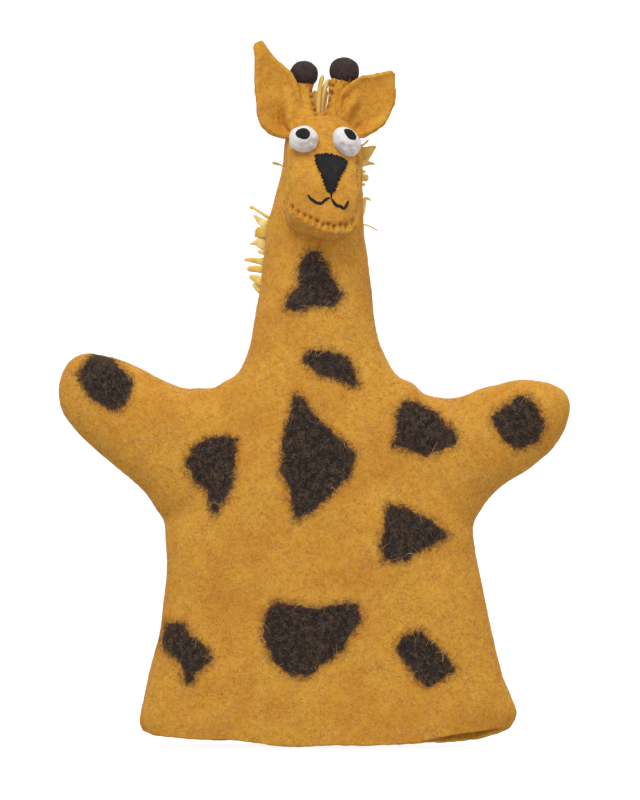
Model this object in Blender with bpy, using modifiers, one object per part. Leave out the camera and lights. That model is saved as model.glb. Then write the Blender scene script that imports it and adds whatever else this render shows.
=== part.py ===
"""Giraffe hand puppet in wet-felted wool: a seamless glove with a padded, stitched head.

Frame: the puppet stands upright and faces -Y, +Z is up, and the origin is the middle of the hand
opening at the hem. Left and right are the puppet's own, so its left arm points to +X.
Every length below is in millimetres; at() turns it into Blender's metres.
"""

import math

import bmesh
import bpy
from mathutils import Matrix, Vector

MM = 0.001

# Driving dimensions
FELT = 3.2  # wall of the glove and of the face
GAP = 0.3  # clearance between pieces that touch
PATCH = 0.6  # a felted-on patch stands this far proud
NOSE_FELT = 1.4
EAR_FELT = 2.4
THREAD_R = 0.4  # sewing thread
ROUNDNESS = 2.3  # superellipse power of every cross-section

# Body and neck: height, right edge, left edge, half depth
COLUMN = [
    (0, -77.5, 76.0, 23.0),
    (12, -79.5, 78.5, 23.0),
    (30, -76.5, 74.0, 22.5),
    (50, -71.5, 68.5, 22.0),
    (75, -68.5, 63.0, 22.0),
    (95, -66.5, 59.5, 21.5),
    (120, -61.0, 53.0, 21.0),
    (140, -53.5, 43.0, 20.0),
    (150, -47.0, 36.5, 19.0),
    (160, -37.5, 27.0, 18.0),
    (170, -33.3, 21.8, 17.5),
    (185, -30.5, 18.9, 17.0),
    (205, -28.3, 16.5, 16.5),
    (220, -26.0, 15.0, 16.0),
    (235, -21.5, 14.3, 15.5),
    (248, -18.7, 14.3, 15.0),
    (258, -18.0, 13.8, 13.5),
    (264, -15.5, 11.3, 11.0),
    (268, -11.0, 7.0, 7.0),
    (270, -4.0, 0.0, 2.0),
]
COLUMN_RINGS = 26
COLUMN_SIDES = 32

# Arms: centre of the rounded tip, slope, and (distance from that centre, half height, half depth)
ARM_SIDES = 20
TIP_STEPS = 4
ARMS = {
    "right": {
        "tip": (-94.5, 146.0),
        "out": Vector((-math.cos(math.radians(32)), 0, math.sin(math.radians(32)))),
        "reach": 20.5,
        "rings": [
            (-60, 21, 13), (-50, 27.5, 15), (-34, 25, 15), (-25, 22.7, 15), (-14, 20.4, 14.6),
            (-5, 19.4, 14.2),
        ],
        "end": (19.0, 14.0),
        "fold": (-34, -22, -6),
    },
    "left": {
        "tip": (82.5, 137.5),
        "out": Vector((math.cos(math.radians(28)), 0, math.sin(math.radians(28)))),
        "reach": 21.0,
        "rings": [
            (-50, 21, 13), (-41, 28, 15), (-31, 24.7, 15), (-22, 22.2, 15), (-12, 20.2, 14.6),
            (-4, 18.8, 14.2),
        ],
        "end": (18.2, 14.0),
        "fold": (-31, -19, -4),
    },
}

# The neck bends between these heights; above them it is one stiff tube up to the skull
NECK_FOLD = (156, 186)

# Muzzle: height, middle, half width, how far forward it comes. Its back lies inside the skull
MUZZLE = [
    (216.0, 1.2, 3.0, 21.0),
    (217.5, 0.5, 7.5, 24.5),
    (220, -0.8, 11.8, 27.0),
    (225, -2.0, 15.0, 28.0),
    (232, -2.2, 16.0, 27.3),
    (240, -2.0, 16.0, 25.0),
    (248, -2.0, 15.8, 22.0),
    (256, -2.0, 15.0, 18.5),
    (262, -2.0, 12.0, 15.0),
]
MUZZLE_RINGS = 14
MUZZLE_SIDES = 28
# The chin seam lies in a plane that passes below the lip and rises towards the neck
CHIN_SEAM = Vector((0, -27.0, 219.5))
CHIN_SLOPE = 0.7

EYES = {
    "right": {
        "at": (-10.8, -20.0, 257.4),
        "r": 6.3,
        "looks": Vector((-0.05, -0.92, 0.39)),
        "pupil": 2.8,
    },
    "left": {"at": (8.2, -19.6, 256.6), "r": 6.1, "looks": Vector((0.30, -0.76, 0.57)), "pupil": 2.8},
}

NOSE = [
    (-6, 250), (-2.3, 252), (3.4, 251.3), (8, 248.6), (7.3, 246), (3.8, 238), (3, 235),
    (-0.2, 235), (-1.7, 239), (-5, 247),
]
MOUTH = [
    (-8.6, 234.1), (-6.6, 231.2), (-4, 230.1), (-1.4, 231.4), (1, 232.6), (3, 230.2), (5.6, 228.6),
    (7.6, 229.6), (8.7, 232),
]

# Ears: root, tip, and (distance along the ear, half width on the outer side, on the inner side)
EAR_FOLD = 5.0  # the blade starts this far out; the root below it does the bending
EARS = {
    "right": {
        "root": Vector((-16, -7.5, 264)),
        "tip": Vector((-29.3, -5.5, 298.3)),
        "widths": [
            (-3.5, 4, 1), (0, 9.5, 2.5), (4, 11.8, 4.5), (8, 11.9, 6), (14, 10.3, 7.6),
            (20, 7.8, 5.9), (27, 6, 3.8), (33, 4, 3), (36.5, 2.2, 2),
        ],
        "outer": Vector((-0.932, 0, -0.361)),
    },
    "left": {
        "root": Vector((10.5, -7.5, 266.5)),
        "tip": Vector((27.2, -6.0, 286.4)),
        "widths": [
            (-4, 5, 0.5), (0, 10.5, 3), (4, 12.5, 5.5), (9, 13, 8.5), (14, 10.9, 9), (19, 7.5, 7),
            (23, 4, 3.6), (25.5, 1.2, 1),
        ],
        "outer": Vector((0.766, 0, -0.643)),
    },
}
EAR_CUP = 3.5  # the middle of an ear lies this far behind its edges

HORNS = {
    "right": {
        "foot": Vector((-7.4, 1.5, 262)),
        "top": Vector((-10.2, 1.0, 281.5)),
        "ball": Vector((-10.4, 1.0, 286.2)),
        "r": 6.2,
    },
    "left": {
        "foot": Vector((2.4, 1.5, 262)),
        "top": Vector((5.9, 1.0, 283)),
        "ball": Vector((6.5, 1.0, 287.6)),
        "r": 6.3,
    },
}
HORN_FOOT_R = 4.5
HORN_TOP_R = 3.5

# Outlines of the felted-on patches, (across, up), seen from the front
FRONT_PATCHES = {
    "patch_neck_upper": [
        (-9.5, 210), (-5, 210), (-1.5, 206.5), (3, 196), (6.5, 191.5), (2.5, 186), (-6, 186.5),
        (-13, 183.5), (-18.5, 185), (-17, 191), (-12.5, 195.5), (-12.5, 203),
    ],
    "patch_neck_lower": [
        (-9, 168), (0, 167.5), (9, 164.5), (13, 153.5), (10, 152), (2.5, 156), (-4, 157),
        (-11, 162.5),
    ],
    "patch_arm_right": [
        (-99, 167), (-92, 165), (-82.5, 154), (-84.5, 148), (-88.5, 142), (-97.5, 145),
        (-101.5, 148.5), (-106, 158),
    ],
    "patch_arm_left": [
        (80, 149), (84, 148.5), (88, 145), (92, 136), (89.5, 130), (80, 125.5), (73, 130),
        (69, 138.5), (70, 142), (77, 145.5),
    ],
    "patch_chest": [
        (-14.5, 149.5), (-12, 149), (-5, 140), (11.5, 124.5), (9.5, 115), (2.5, 108), (-7, 99.5),
        (-14, 95.5), (-17.5, 111), (-20.5, 116), (-19.5, 130.5), (-17, 139),
    ],
    "patch_breast_left": [
        (32, 146.5), (38.5, 145.5), (45, 142), (54, 133), (54, 128), (46, 124.5), (40, 123),
        (27, 127), (28.5, 132), (28.5, 140.5),
    ],
    "patch_flank_right": [
        (-44, 132), (-39, 130), (-39.5, 115), (-42, 107), (-47.5, 98), (-49.5, 99.5), (-52, 109),
        (-57, 112.5), (-61, 120), (-57.5, 127), (-52.5, 130.5),
    ],
    "patch_flank_left": [
        (24.5, 103), (33, 101.5), (37, 98.5), (45, 95.5), (51, 89.5), (43.5, 84), (37.5, 82.5),
        (34, 79), (23.5, 78.5), (21.5, 87), (23, 92),
    ],
    "patch_hem_centre": [
        (-23, 61.5), (-10, 60), (-2.5, 59.5), (8.5, 61.5), (12, 60.5), (14.5, 54.5), (8, 45),
        (6.5, 41), (-2, 35.5), (-8, 30), (-14.5, 30.5), (-20, 33.5), (-24.5, 38), (-28.5, 49),
        (-26, 58),
    ],
    "patch_hem_right": [
        (-69, 52.5), (-61.5, 52.5), (-58, 47), (-53, 44), (-49, 38), (-50.5, 34.5), (-56, 31.5),
        (-57.5, 27), (-60.5, 27), (-62, 34), (-71, 42.5),
    ],
    "patch_hem_left": [
        (36.5, 49.5), (39, 49), (44.5, 44.5), (51.5, 36.5), (54, 32), (49, 29.5), (44, 26.5),
        (41, 26), (37, 29), (29, 40.5), (28.5, 44), (31, 46.5),
    ],
}
BACK_PATCHES = {
    "patch_back_shoulders": [(-16, 148), (2, 151), (13, 143), (7, 131), (-8, 127), (-21, 136)],
    "patch_back_arm_right": [(-101, 158), (-90, 158), (-84, 149), (-89, 140), (-99, 139), (-105, 148)],
    "patch_back_arm_left": [(74, 147), (86, 146), (93, 138), (86, 127), (76, 128), (72, 137)],
    "patch_back_flank_right": [(-52, 118), (-37, 121), (-29, 110), (-35, 95), (-46, 93), (-55, 104)],
    "patch_back_flank_left": [(24, 117), (38, 120), (47, 108), (41, 95), (28, 97), (20, 107)],
    "patch_back_centre": [(-10, 92), (4, 96), (14, 84), (8, 68), (-7, 65), (-17, 77)],
    "patch_back_hem_right": [(-56, 58), (-42, 61), (-33, 50), (-38, 34), (-53, 31), (-61, 44)],
    "patch_back_hem_left": [(26, 52), (42, 56), (53, 44), (47, 30), (32, 27), (22, 39)],
}

# Mane: the band is sewn down the back, and its fringe spreads to both sides
MANE_FELT = 2.0
FRINGE_ROOT = 0.35  # the cuts stop this share of the way from the sewn edge

COLOURS = {
    "ochre": ((0.52, 0.25, 0.04), 0.95),
    "dark": ((0.035, 0.022, 0.018), 0.95),
    "white": ((0.80, 0.78, 0.77), 0.95),
    "black": ((0.010, 0.010, 0.010), 0.9),
    "mane": ((0.68, 0.44, 0.09), 0.95),
    "thread": ((0.50, 0.23, 0.04), 0.85),
}


# ---------------------------------------------------------------- scene and materials


def clear_scene():
    for obj in list(bpy.data.objects):
        bpy.data.objects.remove(obj)


def make_collection(name):
    collection = bpy.data.collections.new(name)
    bpy.context.scene.collection.children.link(collection)
    return collection


def make_materials():
    for name, (colour, roughness) in COLOURS.items():
        material = bpy.data.materials.new(name)
        material.use_nodes = True
        shader = material.node_tree.nodes["Principled BSDF"]
        shader.inputs["Base Color"].default_value = (*colour, 1)
        shader.inputs["Roughness"].default_value = roughness
        shader.inputs["Metallic"].default_value = 0


def paint(obj, colour):
    obj.data.materials.clear()
    obj.data.materials.append(bpy.data.materials[colour])


def at(x, y, z):
    """A point in millimetres as Blender's metres."""
    return Vector((x, y, z)) * MM


# ---------------------------------------------------------------- shared modelling helpers


def add_mesh(name, bm, collection):
    mesh = bpy.data.meshes.new(name)
    bm.to_mesh(mesh)
    bm.free()
    obj = bpy.data.objects.new(name, mesh)
    collection.objects.link(obj)
    return obj


def as_cutter(obj):
    obj.hide_render = True
    obj.display_type = "WIRE"
    return obj


def boolean(obj, operation, other):
    modifier = obj.modifiers.new(operation.lower(), "BOOLEAN")
    modifier.operation = operation
    modifier.object = other
    modifier.solver = "EXACT"


def baked(name, obj, collection):
    """A new object that holds obj's evaluated mesh."""
    bpy.context.view_layer.update()
    graph = bpy.context.evaluated_depsgraph_get()
    mesh = bpy.data.meshes.new_from_object(obj.evaluated_get(graph), depsgraph=graph)
    mesh.name = name
    made = bpy.data.objects.new(name, mesh)
    made.matrix_world = obj.matrix_world
    collection.objects.link(made)
    return made


def smooth_at(stations, where):
    """The stations' other values at this key, along a smooth curve through them."""
    last = len(stations) - 1
    i = max(k for k in range(last) if k == 0 or stations[k][0] <= where)
    before, here, there, after = (stations[min(max(i + k, 0), last)] for k in (-1, 0, 1, 2))
    span = there[0] - here[0]
    t = min(max((where - here[0]) / span, 0), 1)
    values = []
    for k in range(1, len(here)):
        slope_in = (there[k] - before[k]) / (there[0] - before[0]) * span
        slope_out = (after[k] - here[k]) / (after[0] - here[0]) * span
        values.append(
            here[k] * (1 + 2 * t) * (1 - t) ** 2
            + slope_in * t * (1 - t) ** 2
            + there[k] * t * t * (3 - 2 * t)
            + slope_out * t * t * (t - 1)
        )
    return values


def superellipse(angle, half_x, half_y):
    """A point of a rounded cross-section; angle 0 is +x and -90 degrees is -y."""
    c, s = math.cos(angle), math.sin(angle)
    power = 2 / ROUNDNESS
    return half_x * math.copysign(abs(c) ** power, c), half_y * math.copysign(abs(s) ** power, s)


def loft(name, rings, collection):
    """A closed solid through rings of points that all have the same count."""
    bm = bmesh.new()
    rows = [[bm.verts.new(at(*p)) for p in ring] for ring in rings]
    count = len(rows[0])
    for low, high in zip(rows, rows[1:]):
        for k in range(count):
            bm.faces.new((low[k], low[(k + 1) % count], high[(k + 1) % count], high[k]))
    bm.faces.new(rows[0])
    bm.faces.new(rows[-1])
    bmesh.ops.recalc_face_normals(bm, faces=bm.faces)
    return add_mesh(name, bm, collection)


def box(name, low, high, collection):
    """A box cutter between two corners."""
    bm = bmesh.new()
    bmesh.ops.create_cube(bm, size=1)
    size = [b - a for a, b in zip(low, high)]
    middle = [(a + b) / 2 for a, b in zip(low, high)]
    bmesh.ops.scale(bm, vec=at(*size), verts=bm.verts)
    bmesh.ops.translate(bm, vec=at(*middle), verts=bm.verts)
    return as_cutter(add_mesh(name, bm, collection))


def ball(name, centre, radius, collection):
    bm = bmesh.new()
    bmesh.ops.create_uvsphere(bm, u_segments=20, v_segments=12, radius=radius * MM)
    bmesh.ops.translate(bm, vec=at(*centre), verts=bm.verts)
    return add_mesh(name, bm, collection)


def prism(name, outline, y_near, y_far, collection):
    """A flat outline in the XZ plane, as thick as the two y values say."""
    curve = bpy.data.curves.new(name, "CURVE")
    curve.dimensions = "2D"
    curve.fill_mode = "BOTH"
    curve.extrude = abs(y_far - y_near) / 2 * MM
    spline = curve.splines.new("POLY")
    spline.points.add(len(outline) - 1)
    for point, (x, z) in zip(spline.points, outline):
        point.co = (*at(x, z, 0), 1)
    spline.use_cyclic_u = True
    flat = bpy.data.objects.new(name, curve)
    upright = Matrix.Rotation(math.radians(90), 4, "X")
    flat.matrix_world = Matrix.Translation(at(0, (y_near + y_far) / 2, 0)) @ upright
    collection.objects.link(flat)
    return curve_to_mesh(flat, collection)


def curve_to_mesh(curve_object, collection):
    """The curve as a closed mesh with its caps welded on."""
    name = curve_object.name
    curve_object.name = name + "_curve"
    made = baked(name, curve_object, collection)
    bpy.data.objects.remove(curve_object)
    return welded_outwards(made)


def welded_outwards(obj):
    """Welds the mesh's doubled points, and turns all its faces outwards."""
    bm = bmesh.new()
    bm.from_mesh(obj.data)
    bmesh.ops.remove_doubles(bm, verts=bm.verts, dist=0.001 * MM)
    bmesh.ops.recalc_face_normals(bm, faces=bm.faces)
    bm.to_mesh(obj.data)
    bm.free()
    return obj


def thread(name, points, collection, radius=THREAD_R):
    """A sewing thread through points in millimetres."""
    curve = bpy.data.curves.new(name, "CURVE")
    curve.dimensions = "3D"
    curve.bevel_depth = radius * MM
    curve.bevel_resolution = 1
    curve.use_fill_caps = True
    spline = curve.splines.new("POLY")
    spline.points.add(len(points) - 1)
    for point, place in zip(spline.points, points):
        point.co = (*at(*place), 1)
    obj = bpy.data.objects.new(name, curve)
    collection.objects.link(obj)
    return obj


# ---------------------------------------------------------------- the glove


def column_ring(height, grow):
    """The body's or neck's cross-section at a height, grown by this much all round."""
    right, left, depth = smooth_at(COLUMN, height)
    middle, half = (right + left) / 2, (left - right) / 2 + grow
    ring = []
    for k in range(COLUMN_SIDES):
        x, y = superellipse(2 * math.pi * k / COLUMN_SIDES, half, depth + grow)
        ring.append((middle + x, y, height))
    return ring


def column_solid(name, grow, collection):
    """Body, neck and skull as one closed loft. The cavity runs on past the hem, to open it."""
    top = COLUMN[-1][0]
    heights = [top * math.sin(math.pi / 2 * k / COLUMN_RINGS) for k in range(COLUMN_RINGS + 1)]
    rings = [column_ring(h, grow) for h in heights if h < top]
    if grow < 0:
        rings = [ring for ring in rings if ring[0][2] < COLUMN[-2][0] + grow]
        rings.insert(0, [(x, y, -5) for x, y, _ in rings[0]])
    else:
        rings.append([(x, y, top + grow) for x, y, _ in column_ring(top, grow)])
    return loft(name, rings, collection)


def arm_point(arm, along, up=0.0, depth=0.0):
    """A place on an arm, measured along it from the centre of its tip."""
    out = arm["out"]
    across = Vector((-out.z, 0, out.x)) * math.copysign(1, out.x)
    centre = Vector((arm["tip"][0], 0, arm["tip"][1]))
    return centre + out * along + across * up + Vector((0, depth, 0))


def arm_solid(name, arm, grow, collection):
    stations = [(s, h + grow, d + grow) for s, h, d in arm["rings"]]
    height, depth = arm["end"]
    for k in range(TIP_STEPS):
        turn = math.pi / 2 * k / TIP_STEPS
        along = (arm["reach"] + grow) * math.sin(turn)
        stations.append((along, (height + grow) * math.cos(turn), (depth + grow) * math.cos(turn)))
    stations.append(((arm["reach"] + grow) * 0.995, (height + grow) * 0.1, (depth + grow) * 0.1))
    rings = []
    for along, half, deep in stations:
        ring = []
        for k in range(ARM_SIDES):
            up, y = superellipse(2 * math.pi * k / ARM_SIDES, half, deep)
            ring.append(arm_point(arm, along, up, y))
        rings.append(ring)
    return loft(name, rings, collection)


def glove_solid(name, grow, collection):
    """The whole glove as one closed solid, grown by this much all round."""
    body = column_solid(name + "_column", grow, collection)
    arms = [arm_solid(f"{name}_arm_{side}", arm, grow, collection) for side, arm in ARMS.items()]
    for arm in arms:
        boolean(body, "UNION", arm)
    made = baked(name, body, collection)
    for obj in [body, *arms]:
        bpy.data.objects.remove(obj)
    return as_cutter(made)


def arm_box(name, arm, start, end, collection):
    """A cutter that holds the stretch of an arm from start to end."""
    rings = []
    for along in (start, end):
        corners = [(36, -30), (36, 30), (-36, 30), (-36, -30)]
        rings.append([arm_point(arm, along, up, y) for up, y in corners])
    return as_cutter(loft(name, rings, collection))


def glove_part(name, shell, steps, parts):
    """One stretch of the glove's shell, cut out of it by (operation, cutter) steps."""
    obj = bpy.data.objects.new(name, shell.data.copy())
    parts.objects.link(obj)
    for operation, cutter in steps:
        boolean(obj, operation, cutter)
    paint(obj, "ochre")
    return obj


def make_glove(parts, cutters, outer):
    shell = outer.copy()
    shell.data = outer.data.copy()
    shell.name = "glove_shell"
    cutters.objects.link(shell)
    boolean(shell, "DIFFERENCE", glove_solid("glove_cavity", -FELT, cutters))
    shell = as_cutter(baked("glove_shell_whole", shell, cutters))

    low, high = NECK_FOLD
    neck_all = box("neck_all", (-62, -40, low), (48, 40, 320), cutters)
    neck_fold = box("neck_fold", (-62, -40, low + GAP), (48, 40, high - GAP), cutters)
    neck_top = box("neck_top", (-62, -40, high), (48, 40, 320), cutters)
    torso_cuts = [("DIFFERENCE", neck_all)]
    for side, arm in ARMS.items():
        start, _, end = arm["fold"]
        whole = arm_box(f"arm_{side}_all", arm, start, 60, cutters)
        fold = arm_box(f"arm_{side}_fold", arm, start + GAP, end - GAP, cutters)
        paw = arm_box(f"arm_{side}_paw", arm, end, 60, cutters)
        torso_cuts.append(("DIFFERENCE", whole))
        glove_part(f"shoulder_{side}", shell, [("INTERSECT", fold)], parts)
        glove_part(f"arm_{side}", shell, [("INTERSECT", paw)], parts)
    glove_part("torso_felt", shell, torso_cuts, parts)
    glove_part("neck_base", shell, [("INTERSECT", neck_fold)], parts)
    glove_part("neck_and_skull", shell, [("INTERSECT", neck_top)], parts)


def make_patches(parts, clear, proud):
    """Each patch is its outline, cut to the layer of space just above the glove."""
    for outlines, side in ((FRONT_PATCHES, -1), (BACK_PATCHES, 1)):
        for name, outline in outlines.items():
            obj = prism(name, outline, 0, side * 40, parts)
            boolean(obj, "INTERSECT", proud)
            boolean(obj, "DIFFERENCE", clear)
            paint(obj, "dark")


# ---------------------------------------------------------------- the head


def muzzle_point(height, angle, grow=0.0):
    """A point on the muzzle; angle 0 is the puppet's left side and -90 degrees the front."""
    middle, half, front = smooth_at(MUZZLE, height)
    x, y = superellipse(angle, half + grow, front / 2 + grow)
    return Vector((middle + x, y - front / 2, height))


def muzzle_solid(name, grow, collection):
    low, high = MUZZLE[0][0], MUZZLE[-1][0]
    rings = []
    for k in range(MUZZLE_RINGS + 1):
        height = low + (high - low) * (1 - math.cos(math.pi / 2 * k / MUZZLE_RINGS))
        ring = [muzzle_point(height, 2 * math.pi * i / MUZZLE_SIDES, grow) for i in range(MUZZLE_SIDES)]
        if k == 0:
            ring = [p - Vector((0, 0, grow)) for p in ring]
        rings.append(ring)
    if grow < 0:
        rings = [ring for ring in rings if ring[0].z > low - grow]
    return as_cutter(loft(name, rings, collection))


def front_point(x, height, lift):
    """The point of the muzzle's front at this x and height, lifted off it by this much."""
    middle, half, front = smooth_at(MUZZLE, height)
    share = min(abs(x - middle) / (half + lift), 1)
    y = (front / 2 + lift) * (1 - share**ROUNDNESS) ** (1 / ROUNDNESS)
    return Vector((x, -front / 2 - y, height))


def below_chin_seam(name, shift, collection):
    """A cutter that holds the space under the chin seam's plane, moved up by shift."""
    slope = math.atan(CHIN_SLOPE)
    cutter = box(name, (-40, -60, -60), (40, 60, 0), collection)
    place = CHIN_SEAM + Vector((0, 0, shift))
    cutter.data.transform(Matrix.Translation(place * MM) @ Matrix.Rotation(slope, 4, "X"))
    return cutter


def chin_seam_point(angle, shift, lift):
    """Where the chin seam's plane, moved up by shift, meets the muzzle's surface at this angle."""
    low, high = MUZZLE[0][0], MUZZLE[-1][0]
    for _ in range(30):
        height = (low + high) / 2
        place = muzzle_point(height, angle, lift)
        above = place.z - CHIN_SEAM.z - shift - CHIN_SLOPE * (place.y - CHIN_SEAM.y)
        low, high = (low, height) if above > 0 else (height, high)
    return place


def make_face(parts, cutters, glove_clear):
    inner = muzzle_solid("muzzle_inner", -FELT, cutters)
    filling = muzzle_solid("muzzle_filling", -FELT - GAP, cutters)
    under = below_chin_seam("under_chin", 0, cutters)
    over = below_chin_seam("over_chin", GAP, cutters)
    for name, operation, cutter in (("face_panel", "DIFFERENCE", over), ("chin_gusset", "INTERSECT", under)):
        obj = muzzle_solid(name, 0, parts)
        obj.hide_render = False
        obj.display_type = "TEXTURED"
        boolean(obj, "DIFFERENCE", inner)
        boolean(obj, "DIFFERENCE", glove_clear)
        boolean(obj, operation, cutter)
        paint(obj, "ochre")
    stuffing = bpy.data.objects.new("muzzle_stuffing", filling.data.copy())
    parts.objects.link(stuffing)
    boolean(stuffing, "DIFFERENCE", glove_clear)
    paint(stuffing, "white")


def make_head_clear(glove_clear, muzzle_clear, cutters):
    """Glove and muzzle with the clearance round them, as one cutter."""
    both = glove_clear.copy()
    both.data = glove_clear.data.copy()
    cutters.objects.link(both)
    boolean(both, "UNION", muzzle_clear)
    made = as_cutter(baked("head_clear", both, cutters))
    bpy.data.objects.remove(both)
    return made


def make_eyes(parts, cutters, head_clear):
    for side, eye in EYES.items():
        obj = ball(f"eye_{side}", eye["at"], eye["r"], parts)
        boolean(obj, "DIFFERENCE", head_clear)
        paint(obj, "white")
        clear = as_cutter(ball(f"eye_{side}_clear", eye["at"], eye["r"] + GAP, cutters))
        looks = eye["looks"].normalized()
        bm = bmesh.new()
        size = eye["pupil"] * MM
        bmesh.ops.create_cone(bm, cap_ends=True, segments=16, radius1=size, radius2=size, depth=eye["r"] * MM)
        turn = looks.to_track_quat("Z", "Y").to_matrix().to_4x4()
        centre = Vector(eye["at"]) + looks * (eye["r"] / 2 + GAP + PATCH)
        bmesh.ops.transform(bm, matrix=Matrix.Translation(centre * MM) @ turn, verts=bm.verts)
        pupil = add_mesh(f"pupil_{side}", bm, parts)
        boolean(pupil, "DIFFERENCE", clear)
        paint(pupil, "black")


def make_nose_and_mouth(parts, cutters, muzzle_clear):
    nose = prism("nose", NOSE, -10, -50, parts)
    boolean(nose, "INTERSECT", muzzle_solid("muzzle_nose", GAP + NOSE_FELT, cutters))
    boolean(nose, "DIFFERENCE", muzzle_clear)
    paint(nose, "black")
    lift = GAP + THREAD_R
    mouth = thread("mouth_thread", [front_point(x, z, lift) for x, z in MOUTH], parts)
    paint(mouth, "black")
    lip = thread("lip_stitch", [front_point(1.2, z, lift + 0.1) for z in (233.9, 234.6)], parts)
    paint(lip, "black")


def make_seams(parts):
    """Whip stitches round the chin, and a running stitch up each side of the face."""
    lift = GAP + THREAD_R
    stitches = 22
    zigzag = []
    for k in range(2 * stitches + 1):
        angle = -math.pi * (0.06 + 0.88 * k / (2 * stitches))
        zigzag.append(chin_seam_point(angle, 1.6 if k % 2 else -1.6, lift + 0.1))
    paint(thread("chin_seam", zigzag, parts), "thread")
    for side, angle in (("left", -0.3), ("right", -math.pi + 0.3)):
        waves = 12
        line = []
        for k in range(waves + 1):
            line.append(muzzle_point(234 + 18 * k / waves, angle, lift + (0.25 if k % 2 else 0.0)))
        paint(thread(f"face_seam_{side}", line, parts), "thread")


def make_ears(parts, cutters, head_clear):
    columns = 6
    for side, ear in EARS.items():
        axis = ear["tip"] - ear["root"]
        axis.normalize()
        bm = bmesh.new()
        rows = []
        for along, outer, inner in ear["widths"]:
            row = []
            for k in range(columns + 1):
                share = k / columns
                across = outer * (1 - share) - inner * share
                cup = EAR_CUP * (4 * share * (1 - share)) * min(1, (outer + inner) / 14)
                place = ear["root"] + axis * along + ear["outer"] * across
                row.append(bm.verts.new(at(*(place + Vector((0, cup, 0))))))
            rows.append(row)
        for low, high in zip(rows, rows[1:]):
            for k in range(columns):
                bm.faces.new((low[k], low[k + 1], high[k + 1], high[k]))
        bmesh.ops.recalc_face_normals(bm, faces=bm.faces)
        sheet = add_mesh(f"ear_{side}_sheet", bm, cutters)
        felt = sheet.modifiers.new("felt", "SOLIDIFY")
        felt.thickness = EAR_FELT * MM
        felt.offset = 0
        whole = as_cutter(welded_outwards(baked(f"ear_{side}_whole", sheet, cutters)))
        bpy.data.objects.remove(sheet)
        stretches = ((f"ear_root_{side}", -12, EAR_FOLD), (f"ear_{side}", EAR_FOLD + GAP, 60))
        for name, start, end in stretches:
            rings = []
            for along in (start, end):
                middle = ear["root"] + axis * along
                sideways = ear["outer"] * 30
                forward = Vector((0, 20, 0))
                corners = ((1, -1), (1, 1), (-1, 1), (-1, -1))
                rings.append([middle + sideways * a + forward * b for a, b in corners])
            stretch = as_cutter(loft(f"{name}_stretch", rings, cutters))
            obj = bpy.data.objects.new(name, whole.data.copy())
            parts.objects.link(obj)
            boolean(obj, "INTERSECT", stretch)
            boolean(obj, "DIFFERENCE", head_clear)
            paint(obj, "ochre")


def make_horns(parts, cutters, glove_clear):
    for side, horn in HORNS.items():
        tip = ball(f"horn_ball_{side}", horn["ball"], horn["r"], parts)
        paint(tip, "dark")
        clear = as_cutter(ball(f"horn_ball_{side}_clear", horn["ball"], horn["r"] + GAP, cutters))
        line = horn["top"] - horn["foot"]
        bm = bmesh.new()
        bmesh.ops.create_cone(
            bm,
            cap_ends=True,
            segments=18,
            radius1=HORN_FOOT_R * MM,
            radius2=HORN_TOP_R * MM,
            depth=line.length * MM,
        )
        turn = line.to_track_quat("Z", "Y").to_matrix().to_4x4()
        middle = (horn["top"] + horn["foot"]) / 2
        bmesh.ops.transform(bm, matrix=Matrix.Translation(middle * MM) @ turn, verts=bm.verts)
        stem = add_mesh(f"horn_{side}", bm, parts)
        boolean(stem, "DIFFERENCE", glove_clear)
        boolean(stem, "DIFFERENCE", clear)
        paint(stem, "ochre")
        make_horn_seam(side, horn, line.normalized(), parts)


def make_horn_seam(side, horn, axis, parts):
    """Whip stitches up the front of a rolled horn, on the side of its neighbour."""
    inward = -1 if side == "left" else 1
    stitches = 5
    start, end = 9.0, (horn["top"] - horn["foot"]).length - 3.5
    zigzag = []
    for k in range(2 * stitches + 1):
        along = start + (end - start) * k / (2 * stitches)
        radius = HORN_FOOT_R + (HORN_TOP_R - HORN_FOOT_R) * along / (horn["top"] - horn["foot"]).length
        turn = math.radians(55 + (14 if k % 2 else -14))
        around = Vector((inward * math.cos(turn), -math.sin(turn), 0)) * (radius + GAP + THREAD_R + 0.15)
        zigzag.append(horn["foot"] + axis * along + around)
    paint(thread(f"horn_seam_{side}", zigzag, parts), "thread")


def toothed(edge, base, teeth):
    """A fringe's outline: a straight sewn edge, and strips of uneven length cut into the other."""

    def between(share, reach):
        """The point this share of the way down the fringe, and this share of the way out."""
        rows = []
        for (x0, z0), (x1, z1) in (base, edge):
            rows.append((x0 + (x1 - x0) * share, z0 + (z1 - z0) * share))
        return tuple(a + (b - a) * reach for a, b in zip(*rows))

    outline = [base[0]]
    for k in range(teeth):
        length = 0.9 + 0.1 * math.sin(5 * k)
        outline.append(between(k / teeth, length))
        outline.append(between((k + 0.62) / teeth, length - 0.03))
        if k < teeth - 1:
            outline.append(between((k + 0.64) / teeth, FRINGE_ROOT))
            outline.append(between((k + 0.98) / teeth, FRINGE_ROOT))
    outline.append(base[1])
    return outline


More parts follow.
